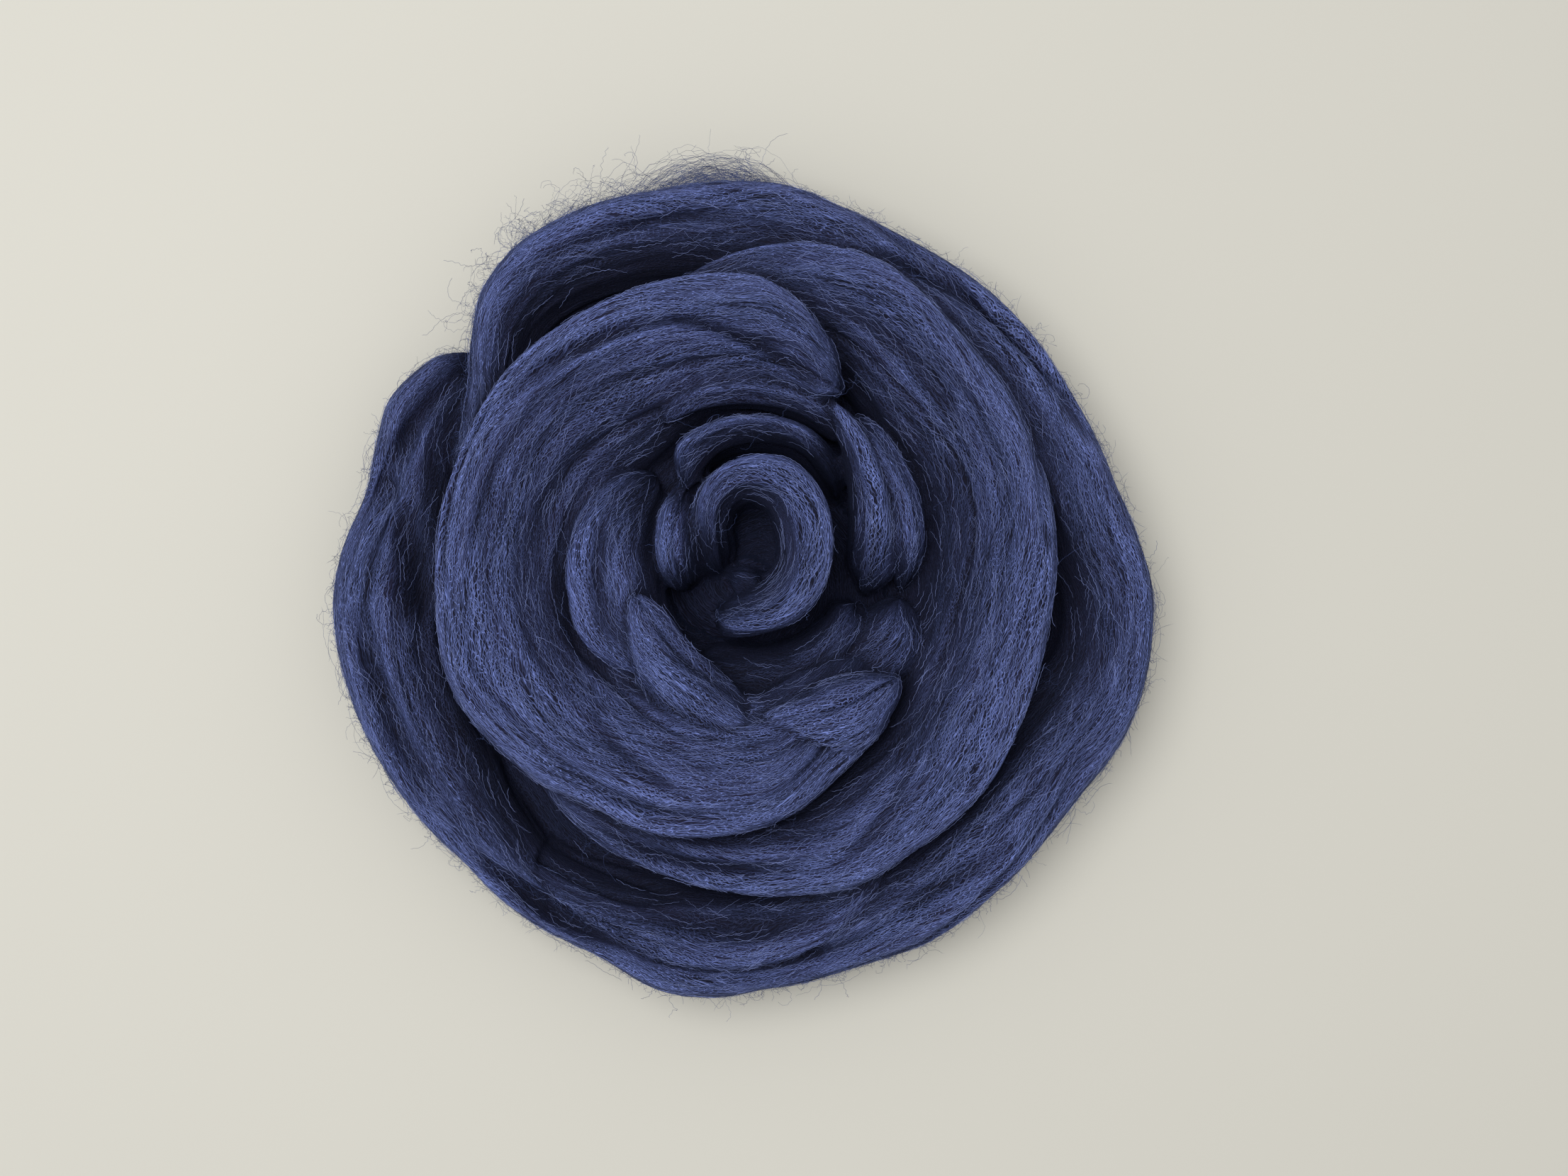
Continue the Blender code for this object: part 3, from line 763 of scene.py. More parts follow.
def mesh_piece(name, points, faces, maps, material, normals=None):
    """A new object of points in metres and faces of equal length, with UV maps by name, at the origin."""
    data = bpy.data.meshes.new(name)
    data.vertices.add(len(points))
    data.vertices.foreach_set("co", np.ascontiguousarray(points, np.float32).ravel())
    count = sum(len(group) for group in faces)
    lengths = np.concatenate([np.full(len(group), group.shape[1]) for group in faces])
    data.loops.add(int(lengths.sum()))
    corners = np.concatenate([group.ravel() for group in faces])
    data.loops.foreach_set("vertex_index", corners.astype(np.int32))
    data.polygons.add(count)
    data.polygons.foreach_set("loop_start", running_total(lengths)[:-1].astype(np.int32))
    data.polygons.foreach_set("use_smooth", np.ones(count, bool))
    data.update(calc_edges=True)
    for map_name, spots in maps.items():
        layer = data.uv_layers.new(name=map_name)
        layer.uv.foreach_set("vector", np.ascontiguousarray(spots, np.float32).ravel())
    data.validate()
    if normals is not None:
        data.normals_split_custom_set_from_vertices(normals.tolist())
    data.materials.append(material)
    made = bpy.data.objects.new(name, data)
    bpy.context.scene.collection.objects.link(made)
    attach(made, BODY)
    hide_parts(NODE)
    return made


def thin(made, ratio):
    """Fewer faces where nothing small shows, none of them under the table's surface."""
    fewer = made.modifiers.new("thin", "DECIMATE")
    fewer.ratio = ratio
    bpy.context.view_layer.update()
    data = bpy.data.meshes.new_from_object(made.evaluated_get(bpy.context.evaluated_depsgraph_get()))
    for vertex in data.vertices:
        vertex.co.z = max(vertex.co.z, 0.0)
    made.modifiers.clear()
    made.data = data


def skin_piece(name, skin, chosen, material):
    """The chosen faces of the skin, with the strand's run in metres as a map."""
    quads = skin.quads[chosen]
    band = skin.band[quads]
    same = band == band[:, :1]
    first = quads[:, :1]
    offset = skin.points[quads] - skin.points[first]
    inward = np.cross(skin.normals[first], skin.tangent[first])
    u = np.where(same, skin.u[quads], skin.u[first] + (offset * skin.tangent[first]).sum(axis=2))
    v = np.where(same, skin.v[quads], skin.v[first] + (offset * inward).sum(axis=2))
    girth = skin.girth[first]
    v = np.where(v < v.max(axis=1, keepdims=True) - girth / 2, v + girth, v)
    lean = np.array([loft.band.lean for loft in skin.lofts])[band[:, :1]]
    strand = np.stack([u + BAND_OFFSET * band[:, :1], v + lean * u], axis=2) * MM
    lanes = np.unique(band[:, 0])
    lane = np.searchsorted(lanes, band[:, :1])
    across = (lane + 0.02 + 0.94 * v / (1.03 * girth)) / len(lanes)
    bake = np.stack([u / skin.run[first], across], axis=2).clip(0, 1)
    used, local = np.unique(quads, return_inverse=True)
    maps = {"strand": strand.reshape(-1, 2), "OFBake": bake.reshape(-1, 2)}
    points, faces = skin.points[used] * MM, [local.reshape(-1, 4)]
    made = mesh_piece(name, points, faces, maps, material, skin.normals[used])
    # painted light: parts that face out from the coil are painted lighter, those that face in darker, and
    # crests lighter than creases
    radial = unit(skin.points[used, :2])
    painted_rim_light = np.clip(0.5 + 0.62 * (radial * skin.normals[used, :2]).sum(axis=1), 0, 1)
    relief = np.clip(0.5 + skin.relief[used] / 3, 0, 1)
    for field, values in (("sky", skin.sky[used]), ("painted_rim_light", painted_rim_light), ("relief", relief)):
        layer = made.data.attributes.new(field, "FLOAT", "POINT")
        layer.data.foreach_set("value", values.astype(np.float32))
    return made


# ----------------------------------------------------------
# Fibres
# ----------------------------------------------------------

SIDES = 3
ROUND_RIM, WISPY_RIM, LEFT_RIM = (0, 360), (88, 124), (118, 136)  # bearings
RIM_FACING = 0.35  # least outward part of the normal on the outer rim
LOWEST_ROOT = 0.5  # of a fibre, over the table, in mm
LOWEST_FIBRE = 0.12  # middle of a fibre over the table, in mm
DARK_PLACES = (0.3, 0.7)  # light over which places go from no fibres to all of theirs
SPARE_SPOTS = 1.6  # places tried for each one wanted
LOOK_OUT = 60.0  # how far off a place nothing may cover it, in mm
WAVE_POINTS = 4  # points in one wave of crimp
CRIMP = (0, 1, 0, -1)  # how far each of them swings to the side
RADIUS_SPREAD = (0.7, 1.3)  # thinnest and thickest fibre, as shares of the set radius

# The length of one wave of a fibre's crimp and how far it swings to each side, in mm.
LYING_WAVE, LYING_SWING = (1.5, 2.3), (0.07, 0.18)
LOOSE_WAVE, LOOSE_SWING = (1.1, 2.1), (0.14, 0.34)
WISP_SWING = (0.12, 0.30)
WISP_HEIGHTS = (2, 17)  # where wisps stand off the rim, in mm
WISP_ROOT = 1.5  # how deep their ends lie in the rim, in mm


def fibre_faces(rings):
    """One fibre's quads, and the triangles that close its two tips."""
    quads, tips = [], []
    for ring in range(rings - 1):
        for k in range(SIDES):
            here = 1 + ring * SIDES + k
            beside = 1 + ring * SIDES + (k + 1) % SIDES
            quads.append((here, beside, beside + SIDES, here + SIDES))
    last = 1 + (rings - 1) * SIDES
    for k in range(SIDES):
        beside = (k + 1) % SIDES
        tips.append((0, 1 + beside, 1 + k))
        tips.append((last + SIDES, last + k, last + beside))
    return np.array(quads), np.array(tips)


def fibre_map(fibres, rings):
    """A place on the map for every point, with each fibre in a cell of its own."""
    wide = math.ceil(math.sqrt(fibres))
    cell = np.stack([np.arange(fibres) % wide, np.arange(fibres) // wide], axis=1)
    local = np.zeros((rings * SIDES + 2, 2))
    local[0] = (0.5, 0.1)
    local[-1] = (0.5, 0.9)
    for ring in range(rings):
        for k in range(SIDES):
            local[1 + ring * SIDES + k] = (0.1 + 0.4 * k, 0.15 + 0.7 * ring / max(rings - 1, 1))
    return ((cell[:, None] + local[None]) / wide).reshape(-1, 2)


def fibre_piece(name, paths, radius, rng, material):
    """Thin closed tubes, each drawn out to a tip at both ends, along paths (fibres x points x 3)."""
    fibres, count = paths.shape[:2]
    rings = count - 2
    radii = radius * rng.uniform(*RADIUS_SPREAD, fibres)
    along = unit(np.gradient(paths, axis=1))
    side = unit(np.cross(along, np.array([0.0, 0.0, 1.0]) + 0.01))
    upward = np.cross(side, along)
    walls = []
    for k in range(SIDES):
        angle = 2 * math.pi * k / SIDES
        offset = side * math.cos(angle) + upward * math.sin(angle)
        walls.append(paths[:, 1:-1] + offset[:, 1:-1] * radii[:, None, None])
    walls = np.stack(walls, axis=2).reshape(fibres, rings * SIDES, 3)
    points = np.concatenate([paths[:, :1], walls, paths[:, -1:]], axis=1)
    starts = (np.arange(fibres) * points.shape[1])[:, None, None]
    quads, tips = fibre_faces(rings)
    quads = (quads[None] + starts).reshape(-1, 4)
    tips = (tips[None] + starts).reshape(-1, 3)
    spots = fibre_map(fibres, rings)
    corners = np.vstack([spots[quads.ravel()], spots[tips.ravel()]])
    return mesh_piece(name, points.reshape(-1, 3) * MM, [quads, tips], {"OFBake": corners}, material)


def open_spots(skin, tree, rng, count, bands, up, bearings=None):
    """Places on the skin that nothing covers, with their normals and the strand's direction there.

    up holds the lowest and highest upward part that a place's normal may have. bearings keeps to the outer
    rim between two bearings. Without it the dark places get fewer spots.
    """
    quads = skin.quads[np.isin(skin.band[skin.quads[:, 0]], bands)]
    if bearings is not None:
        place = skin.points[quads[:, 0], :2]
        faces_out = (unit(place) * skin.normals[quads[:, 0], :2]).sum(axis=1) > RIM_FACING
        bearing = np.degrees(np.arctan2(place[:, 1], place[:, 0])) % 360
        quads = quads[faces_out & (bearing >= bearings[0]) & (bearing <= bearings[1])]
    corners = skin.points[quads]
    area = np.linalg.norm(np.cross(corners[:, 2] - corners[:, 0], corners[:, 3] - corners[:, 1]), axis=1)
    upward = skin.normals[quads[:, 0], 2]
    area[(upward < up[0]) | (upward > up[1]) | (corners[:, :, 2].min(axis=1) < LOWEST_ROOT)] = 0
    if bearings is None:
        area *= ramp(skin.sky[quads[:, 0]], *DARK_PLACES)
    picked = quads[rng.choice(len(quads), int(count * SPARE_SPOTS), p=area / area.sum())]
    mix = rng.dirichlet(np.ones(4), len(picked))[..., None]
    spots = (skin.points[picked] * mix).sum(axis=1)
    normals = skin.normals[picked[:, 0]]
    ways = unit(normals * 0.6 + np.array([0, 0, 0.8]))
    starts = spots + normals * 0.4
    clear = [tree.ray_cast(a, b, LOOK_OUT)[0] is None for a, b in zip(starts.tolist(), ways.tolist())]
    index = np.flatnonzero(clear)[:count]
    return spots[index], normals[index], skin.tangent[picked[index, 0]]


def lying_fibres(skin, tree, spots, rng, waves, slopes, lifts, rises):
    """Crimped fibres that follow the skin along the strand.

    slopes is how much they stray from the strand's direction, lifts how high they lie over the skin, and
    rises how far their ends stand up from it.
    """
    fibres = len(spots[0])
    place, normal, tangent = spots
    along = skin.tangent[skin.quads[:, 0]]
    way = rng.choice([-1.0, 1.0], fibres)[:, None]
    wave = rng.uniform(*LYING_WAVE, fibres)[:, None]
    slope = rng.normal(0, slopes, fibres)[:, None]
    bend = rng.normal(0, slopes * 0.1, fibres)[:, None]
    swing = rng.uniform(*LYING_SWING, fibres)[:, None]
    lift = lifts[0] + (lifts[1] - lifts[0]) * rng.uniform(0, 1, fibres)[:, None] ** 3
    rise = np.maximum(rng.normal(-0.3, 1.0, fibres), 0)[:, None] * rises
    line = []
    steps = waves * WAVE_POINTS
    for k in range(steps + 1):
        share = k / steps
        side = unit(np.cross(normal, tangent))
        shift = CRIMP[k % WAVE_POINTS] * swing
        bob = CRIMP[(k + 1) % WAVE_POINTS] * 0.06
        high = lift * (0.5 + 0.5 * math.sin(math.pi * share)) + bob + rise * abs(2 * share - 1) ** 3
        line.append(place + side * shift + normal * np.maximum(high, 0.03))
        slope = slope + bend
        heading = unit(tangent * way + side * slope)
        ahead = place + heading * wave / WAVE_POINTS
        found = [tree.find_nearest(spot) for spot in ahead.tolist()]
        moved = np.array([hit[0] for hit in found])
        gap = np.linalg.norm(moved - ahead, axis=1, keepdims=True)
        place = np.where(gap < 0.6, moved, ahead * 0.6 + moved * 0.4)
        normal = unit(normal * 0.5 + np.array([hit[1] for hit in found]) * 0.5)
        turned = along[[hit[2] for hit in found]]
        turned = turned * np.sign((turned * tangent).sum(axis=1, keepdims=True) + 1e-9)
        tangent = unit(tangent * 0.7 + turned * 0.3)
    return np.stack(line, axis=1)


def loose_fibres(spots, rng, waves, out, spread, curl):
    """Crimped fibres that leave the skin and end in the air.

    out is how steeply they leave it, spread how much they stray from the strand's direction, and curl how
    much they bend on the way.
    """
    place, normal, tangent = spots
    fibres = len(place)
    tangent = tangent * rng.choice([-1.0, 1.0], fibres)[:, None]
    across = np.cross(normal, tangent) * rng.normal(0, spread, fibres)[:, None]
    heading = unit(tangent + normal * rng.uniform(out[0], out[1], fibres)[:, None] + across)
    wave = rng.uniform(*LOOSE_WAVE, fibres)[:, None]
    swing = rng.uniform(*LOOSE_SWING, fibres)[:, None]
    turning = rng.normal(0, curl, (fibres, 3))
    place = place - normal * 0.2
    line = []
    for k in range(waves * WAVE_POINTS + 1):
        side = unit(np.cross(heading, normal))
        line.append(place + side * CRIMP[k % WAVE_POINTS] * swing * min(1, k / WAVE_POINTS))
        turning = turning * 0.95 + rng.normal(0, curl * 0.4, (fibres, 3))
        heading = unit(heading + np.cross(turning, heading) * wave / WAVE_POINTS)
        place = place + heading * wave / WAVE_POINTS
    return np.stack(line, axis=1)


def wisps(rng, count, waves, starts, spans, highest):
    """Long fibres that stand off the rim in low arcs.

    starts holds the bearings between which they begin, spans how many degrees they cover, and highest how
    far off the rim they stand.
    """
    start = rng.uniform(*starts, count)[:, None]
    span = rng.uniform(*spans, count)[:, None]
    share = np.linspace(0, 1, waves * WAVE_POINTS + 1)[None, :]
    bearing = start - span * share
    rim = through_rows(OUTER_TURN, (bearing + 360).ravel())[:, 1].reshape(bearing.shape)
    peak = highest * rng.uniform(0, 1, count)[:, None] ** 1.6
    lean = rng.uniform(0.6, 1.7, count)[:, None]
    off = peak * np.sin(np.pi * share**lean) + rng.normal(0, 0.8, (count, 1)) * share
    crimp = np.array(CRIMP)[np.arange(share.size) % WAVE_POINTS] * rng.uniform(*WISP_SWING, (count, 1))
    waver = 0.7 * np.sin(2 * np.pi * (share * rng.uniform(1, 3, (count, 1)) + rng.uniform(0, 1, (count, 1))))
    radius = rim - WISP_ROOT + off + crimp + waver * share
    root = rng.uniform(*WISP_HEIGHTS, count)[:, None]
    height = root + 3 * np.sin(np.pi * share) * rng.normal(0, 1, (count, 1))
    angle = np.radians(bearing)
    return np.stack([radius * np.cos(angle), radius * np.sin(angle), height], axis=2)


def kept_in_reach(paths, sizes):
    """The paths that stay near the coil, lifted clear of the table."""
    paths = paths.copy()
    paths[..., 2] = np.maximum(paths[..., 2], LOWEST_FIBRE)
    near = np.hypot(paths[..., 0], paths[..., 1]).max(axis=1) < sizes.reach_mm
    return paths[near & (paths[..., 2].max(axis=1) < sizes.top_mm)]


# ----------------------------------------------------------
# Materials
# ----------------------------------------------------------


class Value:
    """A number in a node tree, with its sums written as Python expressions."""

    def __init__(self, tree, socket):
        self.tree = tree
        self.socket = socket

    def joined(self, operation, *others):
        node = add_node(self.tree, "ShaderNodeMath", {"operation": operation}, others)
        return Value(self.tree, node.outputs[0])

    def __add__(self, other):
        return self.joined("ADD", self, other)

    def __sub__(self, other):
        return self.joined("SUBTRACT", self, other)

    def __mul__(self, other):
        return self.joined("MULTIPLY", self, other)

    def __truediv__(self, other):
        return self.joined("DIVIDE", self, other)

    def __pow__(self, other):
        return self.joined("POWER", self, other)

    def __rsub__(self, other):
        return self.joined("SUBTRACT", other, self)

    __radd__ = __add__
    __rmul__ = __mul__

    def sine(self):
        return self.joined("SINE", self)

    def size(self):
        return self.joined("ABSOLUTE", self)

    def floor(self):
        return self.joined("FLOOR", self)

    def most(self, other):
        return self.joined("MAXIMUM", self, other)

    def clamped(self):
        return self.joined("MINIMUM", self.joined("MAXIMUM", self, 0.0), 1.0)


def add_node(tree, kind, settings, inputs):
    """A node with its settings made first, then its inputs, by place or by name, linked or set."""
    node = tree.nodes.new(kind)
    for name, setting in settings.items():
        setattr(node, name, setting)
    named = inputs.items() if isinstance(inputs, dict) else enumerate(inputs)
    for key, value in named:
        if isinstance(value, Value):
            value = value.socket
        if isinstance(value, bpy.types.NodeSocket):
            tree.links.new(value, node.inputs[key])
        else:
            node.inputs[key].default_value = value
    return node


def mixed(tree, share, first, second):
    """A colour between two others."""
    node = add_node(tree, "ShaderNodeMix", {"data_type": "RGBA"}, {0: share, 6: first, 7: second})
    return node.outputs[2]


def streaks(tree, along, across, detail, roughness=0.5):
    """Noise from 0 to 1 over the strand's surface, at a place given along and across it."""
    place = add_node(tree, "ShaderNodeCombineXYZ", {}, [along, across, 0.0]).outputs[0]
    settings = {"noise_dimensions": "2D"}
    inputs = {"Vector": place, "Scale": 1.0, "Detail": detail, "Roughness": roughness}
    return Value(tree, add_node(tree, "ShaderNodeTexNoise", settings, inputs).outputs[0])


def new_material(name):
    material = bpy.data.materials.new(name)
    material.use_nodes = True
    tree = material.node_tree
    shader = tree.nodes["Principled BSDF"]
    return material, tree, shader


# Fibres drawn side by side. slope is how far they go across the strand for each millimetre along it, pitch
# is from one to the next and wave is one wave of their crimp, in mm, and strength is how light they are.
Layer = namedtuple("Layer", "slope pitch wave seed strength")
LAYERS = (
    Layer(0.03, 0.42, 1.7, 3.0, 0.40),
    Layer(0.11, 0.50, 2.0, 41.0, 0.70),
    Layer(-0.09, 0.58, 1.8, 77.0, 0.85),
    Layer(0.20, 0.75, 2.3, 113.0, 1.0),
    Layer(-0.26, 0.90, 2.1, 151.0, 1.0),
)
THREAD_MM = 0.12  # from the middle of a drawn fibre to its edge


def threads(tree, along, across, layer):
    """Crimped fibres, each in a lane of its own, as lines from 0 to 1."""
    place = (across + along * layer.slope) / layer.pitch + layer.seed
    lane = place.floor()
    chance = add_node(tree, "ShaderNodeTexWhiteNoise", {"noise_dimensions": "1D"}, {"W": lane})
    own = Value(tree, chance.outputs["Value"])

    # neighbours crimp nearly in step
    shared = streaks(tree, along * 0.08, across * 0.30 + layer.seed, 0.0) * 30.0
    crimp = (along * (2 * math.pi / layer.wave) + shared + own * 3.0).sine() * 0.20
    off = (place - lane - 0.5 - crimp).size() * (layer.pitch / THREAD_MM)

    # along its lane a fibre comes into sight and dives again
    shows = ((streaks(tree, along * 0.10 + own * 60.0, lane * 3.7, 0.0) - 0.40) * 7.0).clamped()
    return ((1.0 - off) * 1.5).clamped() * shows * layer.strength


def wool_material(colours):
    """Combed wool seen as a surface: crimped fibres over each other, with painted shade deep between the
    turns and in creases, and painted light on outward-facing parts and crests.
    """
    material, tree, shader = new_material("combed_wool")
    uv = add_node(tree, "ShaderNodeUVMap", {"uv_map": "strand"}, []).outputs[0]
    parts = add_node(tree, "ShaderNodeSeparateXYZ", {}, [uv])
    along = Value(tree, parts.outputs[0]) * MM_PER_M
    across = Value(tree, parts.outputs[1]) * MM_PER_M
    sky, painted_rim_light, relief = (
        Value(tree, add_node(tree, "ShaderNodeAttribute", {"attribute_name": name}, []).outputs["Fac"])
        for name in ("sky", "painted_rim_light", "relief")
    )

    # the lanes wander to the side and the crimp comes closer and wider
    drift = streaks(tree, along * 0.04, across * 0.03, 0.0) * 8.0
    uneven = along + streaks(tree, along * 0.12, across * 0.15, 0.0) * 2.5
    line = across + drift
    top = reduce(Value.most, [threads(tree, uneven, line, layer) for layer in LAYERS])
    lock = streaks(tree, along * 0.05, line * 0.6, 3.0, 0.65)
    broad = streaks(tree, along * 0.03, across * 0.16, 1.0)

    # painted shade: from 0 deep between the turns to 1 in the open
    lit = ((sky - 0.18) * 1.26 + (relief - 0.5) * 0.5).clamped() ** 2.0
    light = (top * 1.08 + 0.01) * (1.0 + (lock - 0.5) * 1.5 + (broad - 0.5) * 0.7)
    # painted light and shade: outward-facing parts and crests lighter, inward-facing parts, creases and deep
    # places darker
    shown = light.clamped() * (painted_rim_light * 0.50 + 0.50) * (relief * 0.4 + 0.80) * (lit * 0.72 + 0.28)
    tone = mixed(tree, shown.clamped(), (*colours.shade, 1), (*colours.body, 1))
    dye_and_painted_shade = mixed(tree, ((broad - 0.35) * 2.2).clamped() * 0.25, tone, (*colours.tint, 1))
    # painted shade: deep between the turns the colour goes to the hollow shade
    dye_and_painted_shade = mixed(tree, lit * 0.65 + 0.35, (*colours.painted_hollow_shade, 1), dye_and_painted_shade)
    tree.links.new(dye_and_painted_shade, shader.inputs["Base Color"])
    rough = 0.62 + (1.0 - top) * 0.2
    tree.links.new(rough.socket, shader.inputs["Roughness"])
    height = top * 1.4 + lock * 2.0
    inputs = {"Strength": 1.0, "Distance": colours.bump_mm * MM, "Height": height}
    bump = add_node(tree, "ShaderNodeBump", {}, inputs)
    tree.links.new(bump.outputs[0], shader.inputs["Normal"])
    finish_fibre(shader, colours)
    return material


def finish_fibre(shader, colours):
    """The soft gloss that wool has all over."""
    shader.inputs["Specular IOR Level"].default_value = 0.08
    shader.inputs["Sheen Weight"].default_value = colours.sheen
    shader.inputs["Sheen Roughness"].default_value = 0.5
    shader.inputs["Sheen Tint"].default_value = (*colours.sheen_tint, 1)


def strand_material(name, colours, colour):
    """Single fibres, which vary a little in tone from place to place."""
    material, tree, shader = new_material(name)
    place = add_node(tree, "ShaderNodeTexCoord", {}, []).outputs["Object"]
    patch = add_node(tree, "ShaderNodeTexNoise", {}, {"Vector": place, "Scale": 220.0, "Detail": 1.0})
    share = ((Value(tree, patch.outputs[0]) - 0.3) * 2.4).clamped()
    darker = tuple(0.45 * channel for channel in colour)
    tree.links.new(mixed(tree, share, (*darker, 1), (*colour, 1)), shader.inputs["Base Color"])
    shader.inputs["Roughness"].default_value = 0.55
    finish_fibre(shader, colours)
    return material


# ----------------------------------------------------------
# Settings
# ----------------------------------------------------------


def number_setting(name, description, default, unit="NONE"):
    return bpy.props.FloatProperty(name=name, description=description, default=default, unit=unit)


def colour_setting(name, description, default):
    return bpy.props.FloatVectorProperty(
        name=name, description=description, default=default, subtype="COLOR", size=3, min=0.0, max=1.0
    )


class RovingSizes(bpy.types.PropertyGroup):
    lump_mm: number_setting("Lumps", "Depth of the broad unevenness, in mm", 1.0)
    lock_mm: number_setting("Locks", "Depth between locks of fibre, in mm", 0.7)
    thread_mm: number_setting("Threads", "Depth of the fine streaks, in mm", 0.2)
    groove_mm: number_setting("Grooves", "Depth of the narrow creases, in mm", 1.7)
    fibre_mm: number_setting("Fibre", "Radius of a lying fibre, in mm", 0.038)
    loose_mm: number_setting("Loose fibre", "Radius of a loose fibre, in mm", 0.032)
    reach_mm: number_setting("Reach", "Farthest that a fibre goes from the middle, in mm", 112.0)
    top_mm: number_setting("Top", "Highest that a fibre goes, in mm", 47.0)


class RovingColours(bpy.types.PropertyGroup):
    # Shade is painted shade: the colour between the drawn fibres and on the shaded parts of the wool.
    shade: colour_setting("Shade", "Dye between the fibres", (0.0062, 0.0066, 0.0150))
    body: colour_setting("Body", "Dye of the fibres", (0.210, 0.279, 0.696))
    # Hollow is painted shade: the colour that the wool is painted deep between the turns, where little light
    # gets in.
    painted_hollow_shade: colour_setting("Hollow", "Dye deep between the turns", (0.0080, 0.0083, 0.0170))
    tint: colour_setting("Tint", "Dye of the redder locks", (0.045, 0.042, 0.115))
    lying: colour_setting("Lying fibres", "Fibres that catch the light", (0.29, 0.36, 0.74))
    loose: colour_setting("Loose fibres", "Fibres in the air", (0.085, 0.120, 0.300))
    sheen_tint: colour_setting("Sheen", "Colour of the soft gloss", (0.30, 0.42, 1.0))
    sheen: number_setting("Sheen weight", "Strength of the soft gloss", 0.06)
    bump_mm: number_setting("Bump", "Height of the fibres' relief, in mm", 0.35)


class RovingStage(bpy.types.PropertyGroup):
    camera_m: bpy.props.FloatVectorProperty(
        name="Camera",
        description="Where the camera stands",
        default=(0.0098, -0.0003, 0.45),
        subtype="XYZ",
        unit="LENGTH",
    )
    field: number_setting("Field", "Width of the view at the coil", 0.3768, "LENGTH")
    field_z: number_setting("Field height", "Height at which the field is measured", 0.020, "LENGTH")
    floor: colour_setting("Floor", "Pale table", (0.622, 0.610, 0.554))
    sky: number_setting("Sky", "Strength of the even light", 0.64)
    lamp_w: number_setting("Lamp", "Power of the softbox, in watts", 4.6)


# ----------------------------------------------------------
# Operators
# ----------------------------------------------------------

TABLE_SIZE = 6.0
LAMP_AT = (-0.25, 0.15, 0.85)
LAMP_SIZE = 0.7

# What the first operator hands to the two that root fibres in it.
built = {}


class ROVING_OT_skin(bpy.types.Operator):
    """The strand's turns and folds, merged into one skin and split by turn"""

    bl_idname = "roving.skin"
    bl_label = "Turns and folds"

    def execute(self, context):
        wool = wool_material(context.scene.roving_colours)
        lofts = [Loft(band, TURN_STEPS) for band in TURNS]
        lofts += [Loft(band, FOLD_STEPS) for band in FOLDS]
        lofts.append(Loft(hidden_band(), HIDDEN_BAND_STEPS))
        skin = Skin(lofts, context.scene.roving_sizes)
        first = skin.quads[:, 0]
        band = skin.band[first]
        down = (skin.normals[first, 2] < UNDERSIDE_UP) & (skin.points[first, 2] < UNDERSIDE_TOP)
        turns = len(TURNS)
        groups = {loft.band.name: (band == k) & ~down for k, loft in enumerate(lofts[:turns])}
        groups["eye_folds"] = (band >= turns) & ~down
        groups["underside"] = down
        for name, faces in groups.items():
            made = skin_piece(name, skin, faces, wool)
            if name == "underside":
                thin(made, UNDERSIDE_FACES)
        built["skin"] = skin
        built["tree"] = skin.tree()
        return {"FINISHED"}


class ROVING_OT_lying_fibres(bpy.types.Operator):
    """Crimped fibres that lie along every turn and fold"""

    bl_idname = "roving.lying_fibres"
    bl_label = "Lying fibres"

    def execute(self, context):
        sizes = context.scene.roving_sizes
        colours = context.scene.roving_colours
        fibre = strand_material("lying_fibre", colours, tuple(colours.lying))
        skin, tree = built["skin"], built["tree"]
        rng = np.random.default_rng(7)
        plan = (
            ("lying_fibres_outer", [0], 1150),
            ("lying_fibres_middle", [1, 2], 900),
            ("lying_fibres_upper", range(3, len(skin.lofts)), 1500),
        )
        for name, bands, count in plan:
            spots = open_spots(skin, tree, rng, count, bands, up=(0.0, 1.0))
            paths = lying_fibres(skin, tree, spots, rng, waves=4, slopes=0.26, lifts=(0.05, 0.6), rises=0.7)
            fibre_piece(name, kept_in_reach(paths, sizes), sizes.fibre_mm, rng, fibre)
        return {"FINISHED"}


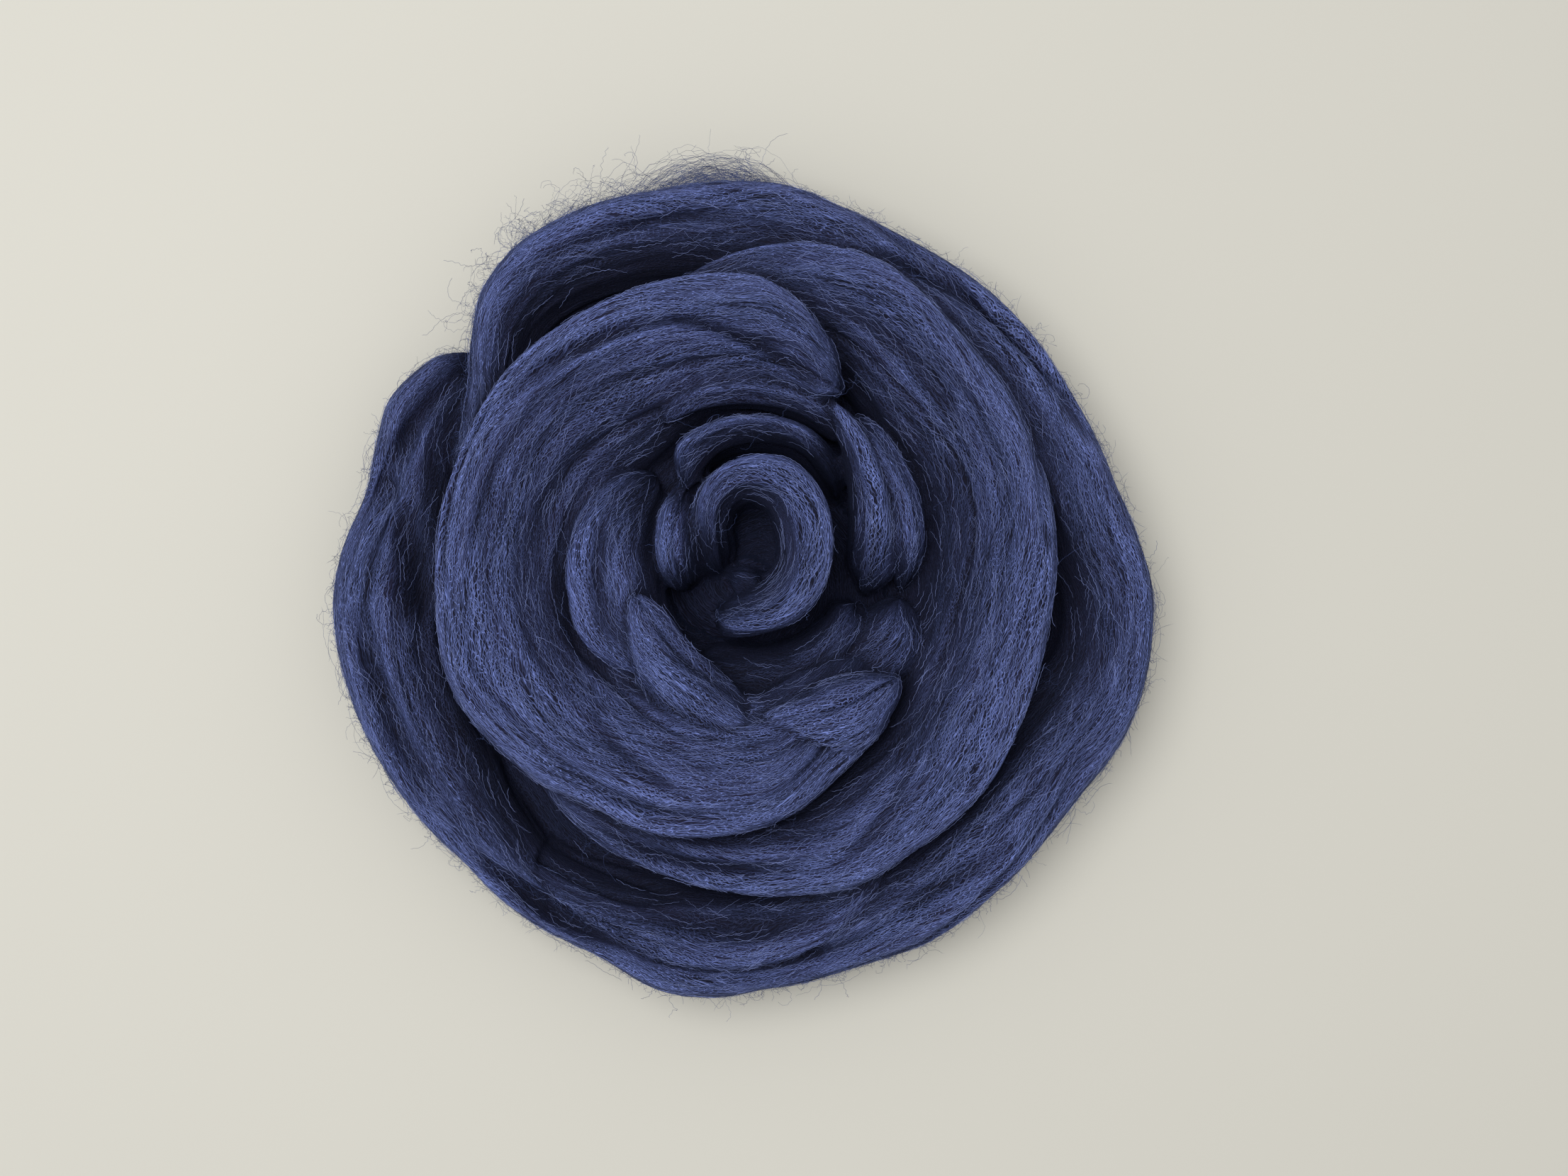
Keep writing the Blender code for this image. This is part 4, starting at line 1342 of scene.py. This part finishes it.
class ROVING_OT_loose_fibres(bpy.types.Operator):
    """The fringe round the rim, flyaway fibres over the turns and the wisps that stand off the rim"""

    bl_idname = "roving.loose_fibres"
    bl_label = "Loose fibres"

    def execute(self, context):
        sizes = context.scene.roving_sizes
        colours = context.scene.roving_colours
        fibre = strand_material("loose_fibre", colours, tuple(colours.loose))
        skin, tree = built["skin"], built["tree"]
        rng = np.random.default_rng(11)
        every, outer = range(len(skin.lofts)), [0]
        fuzz = open_spots(skin, tree, rng, 2900, outer, (-0.3, 0.9), ROUND_RIM)
        fuzz = loose_fibres(fuzz, rng, waves=2, out=(0.0, 0.9), spread=0.6, curl=0.40)
        rim = open_spots(skin, tree, rng, 460, outer, (-0.3, 0.8), ROUND_RIM)
        fringe = lying_fibres(skin, tree, rim, rng, waves=6, slopes=0.35, lifts=(0.1, 3.0), rises=2.2)
        stray = open_spots(skin, tree, rng, 240, outer, (-0.3, 0.9), ROUND_RIM)
        stray = loose_fibres(stray, rng, waves=6, out=(0.1, 0.9), spread=0.4, curl=0.30)
        over = open_spots(skin, tree, rng, 260, every, (0.2, 1.0))
        over = loose_fibres(over, rng, waves=6, out=(0.02, 0.35), spread=0.35, curl=0.20)
        tuft = open_spots(skin, tree, rng, 170, outer, (-0.2, 0.9), WISPY_RIM)
        tuft = loose_fibres(tuft, rng, waves=9, out=(0.4, 1.5), spread=0.7, curl=0.24)
        low_tuft = open_spots(skin, tree, rng, 70, outer, (-0.2, 0.9), LEFT_RIM)
        low_tuft = loose_fibres(low_tuft, rng, waves=9, out=(0.2, 1.0), spread=0.5, curl=0.24)
        arcs = wisps(rng, 90, waves=9, starts=(98, 126), spans=(5, 18), highest=11.0)
        crest = wisps(rng, 180, waves=9, starts=(101, 110), spans=(13, 24), highest=10.0)
        groups = (
            ("fuzz_fibres", [fuzz]),
            ("fringe_fibres", [fringe]),
            ("loose_fibres", [stray, over]),
            ("wisp_fibres", [tuft, low_tuft, arcs, crest]),
        )
        for name, group in groups:
            paths = kept_in_reach(np.concatenate(group), sizes)
            fibre_piece(name, paths, sizes.loose_mm, rng, fibre)
        return {"FINISHED"}


def add_table(colour):
    bpy.ops.object.select_all(action="DESELECT")
    bpy.ops.mesh.primitive_plane_add(size=TABLE_SIZE, location=(0, 0, 0))
    table = bpy.context.object
    table.name = "table_top"
    material, tree, shader = new_material("pale_table")
    place = add_node(tree, "ShaderNodeTexCoord", {}, []).outputs["Object"]
    patch = add_node(tree, "ShaderNodeTexNoise", {}, {"Vector": place, "Scale": 6.0, "Detail": 2.0})
    paler = tuple(min(1.0, 1.03 * channel) for channel in colour)
    tree.links.new(mixed(tree, patch.outputs[0], (*colour, 1), (*paler, 1)), shader.inputs["Base Color"])
    shader.inputs["Roughness"].default_value = 0.7
    shader.inputs["Specular IOR Level"].default_value = 0.1
    table.data.materials.append(material)


def add_even_light(strength):
    world = bpy.data.worlds.new("even_light")
    world.use_nodes = True
    sky = world.node_tree.nodes["Background"]
    sky.inputs["Color"].default_value = (1.0, 0.99, 0.97, 1)
    sky.inputs["Strength"].default_value = strength
    bpy.context.scene.world = world


def add_softbox(watts):
    light = bpy.data.lights.new("softbox", "AREA")
    light.energy = watts
    light.shape = "DISK"
    light.size = LAMP_SIZE
    lamp = bpy.data.objects.new("softbox", light)
    lamp.location = LAMP_AT
    lamp.rotation_euler = (-lamp.location).to_track_quat("-Z", "Y").to_euler()
    bpy.context.scene.collection.objects.link(lamp)


def add_camera(stage):
    """A camera that looks straight down, with the stage's field in view."""
    view = bpy.data.cameras.new("camera")
    camera = bpy.data.objects.new("camera", view)
    camera.location = stage.camera_m
    view.lens = view.sensor_width * (stage.camera_m[2] - stage.field_z) / stage.field
    view.clip_start = 0.01
    bpy.context.scene.collection.objects.link(camera)
    bpy.context.scene.camera = camera


class ROVING_OT_stage(bpy.types.Operator):
    """A pale table, even light and a camera that looks straight down"""

    bl_idname = "roving.stage"
    bl_label = "Stage"

    def execute(self, context):
        stage = context.scene.roving_stage
        add_table(tuple(stage.floor))
        add_even_light(stage.sky)
        add_softbox(stage.lamp_w)
        add_camera(stage)
        context.scene.view_settings.view_transform = "Standard"
        return {"FINISHED"}


class ROVING_PT_panel(bpy.types.Panel):
    bl_label = "Wool roving"
    bl_idname = "ROVING_PT_panel"
    bl_space_type = "VIEW_3D"
    bl_region_type = "UI"
    bl_category = "Roving"

    def draw(self, context):
        layout = self.layout
        for group in (context.scene.roving_sizes, context.scene.roving_colours, context.scene.roving_stage):
            box = layout.box()
            for name in group.bl_rna.properties.keys():
                if name not in ("rna_type", "name"):
                    box.prop(group, name)
        for operator in OPERATORS:
            layout.operator(operator.bl_idname)


GROUPS = {"roving_sizes": RovingSizes, "roving_colours": RovingColours, "roving_stage": RovingStage}
OPERATORS = (
    ROVING_OT_skin,
    ROVING_OT_lying_fibres,
    ROVING_OT_loose_fibres,
    ROVING_OT_stage,
)


def register():
    for group in GROUPS.values():
        bpy.utils.register_class(group)
    for operator in OPERATORS:
        bpy.utils.register_class(operator)
    bpy.utils.register_class(ROVING_PT_panel)
    for name, group in GROUPS.items():
        setattr(bpy.types.Scene, name, bpy.props.PointerProperty(type=group))


def unregister():
    for name in GROUPS:
        delattr(bpy.types.Scene, name)
    for group in (ROVING_PT_panel, *OPERATORS, *GROUPS.values()):
        bpy.utils.unregister_class(group)


def main():
    register()
    bpy.ops.roving.skin()
    bpy.ops.roving.lying_fibres()
    bpy.ops.roving.loose_fibres()
    bpy.ops.roving.stage()


if __name__ == "__main__":
    main()
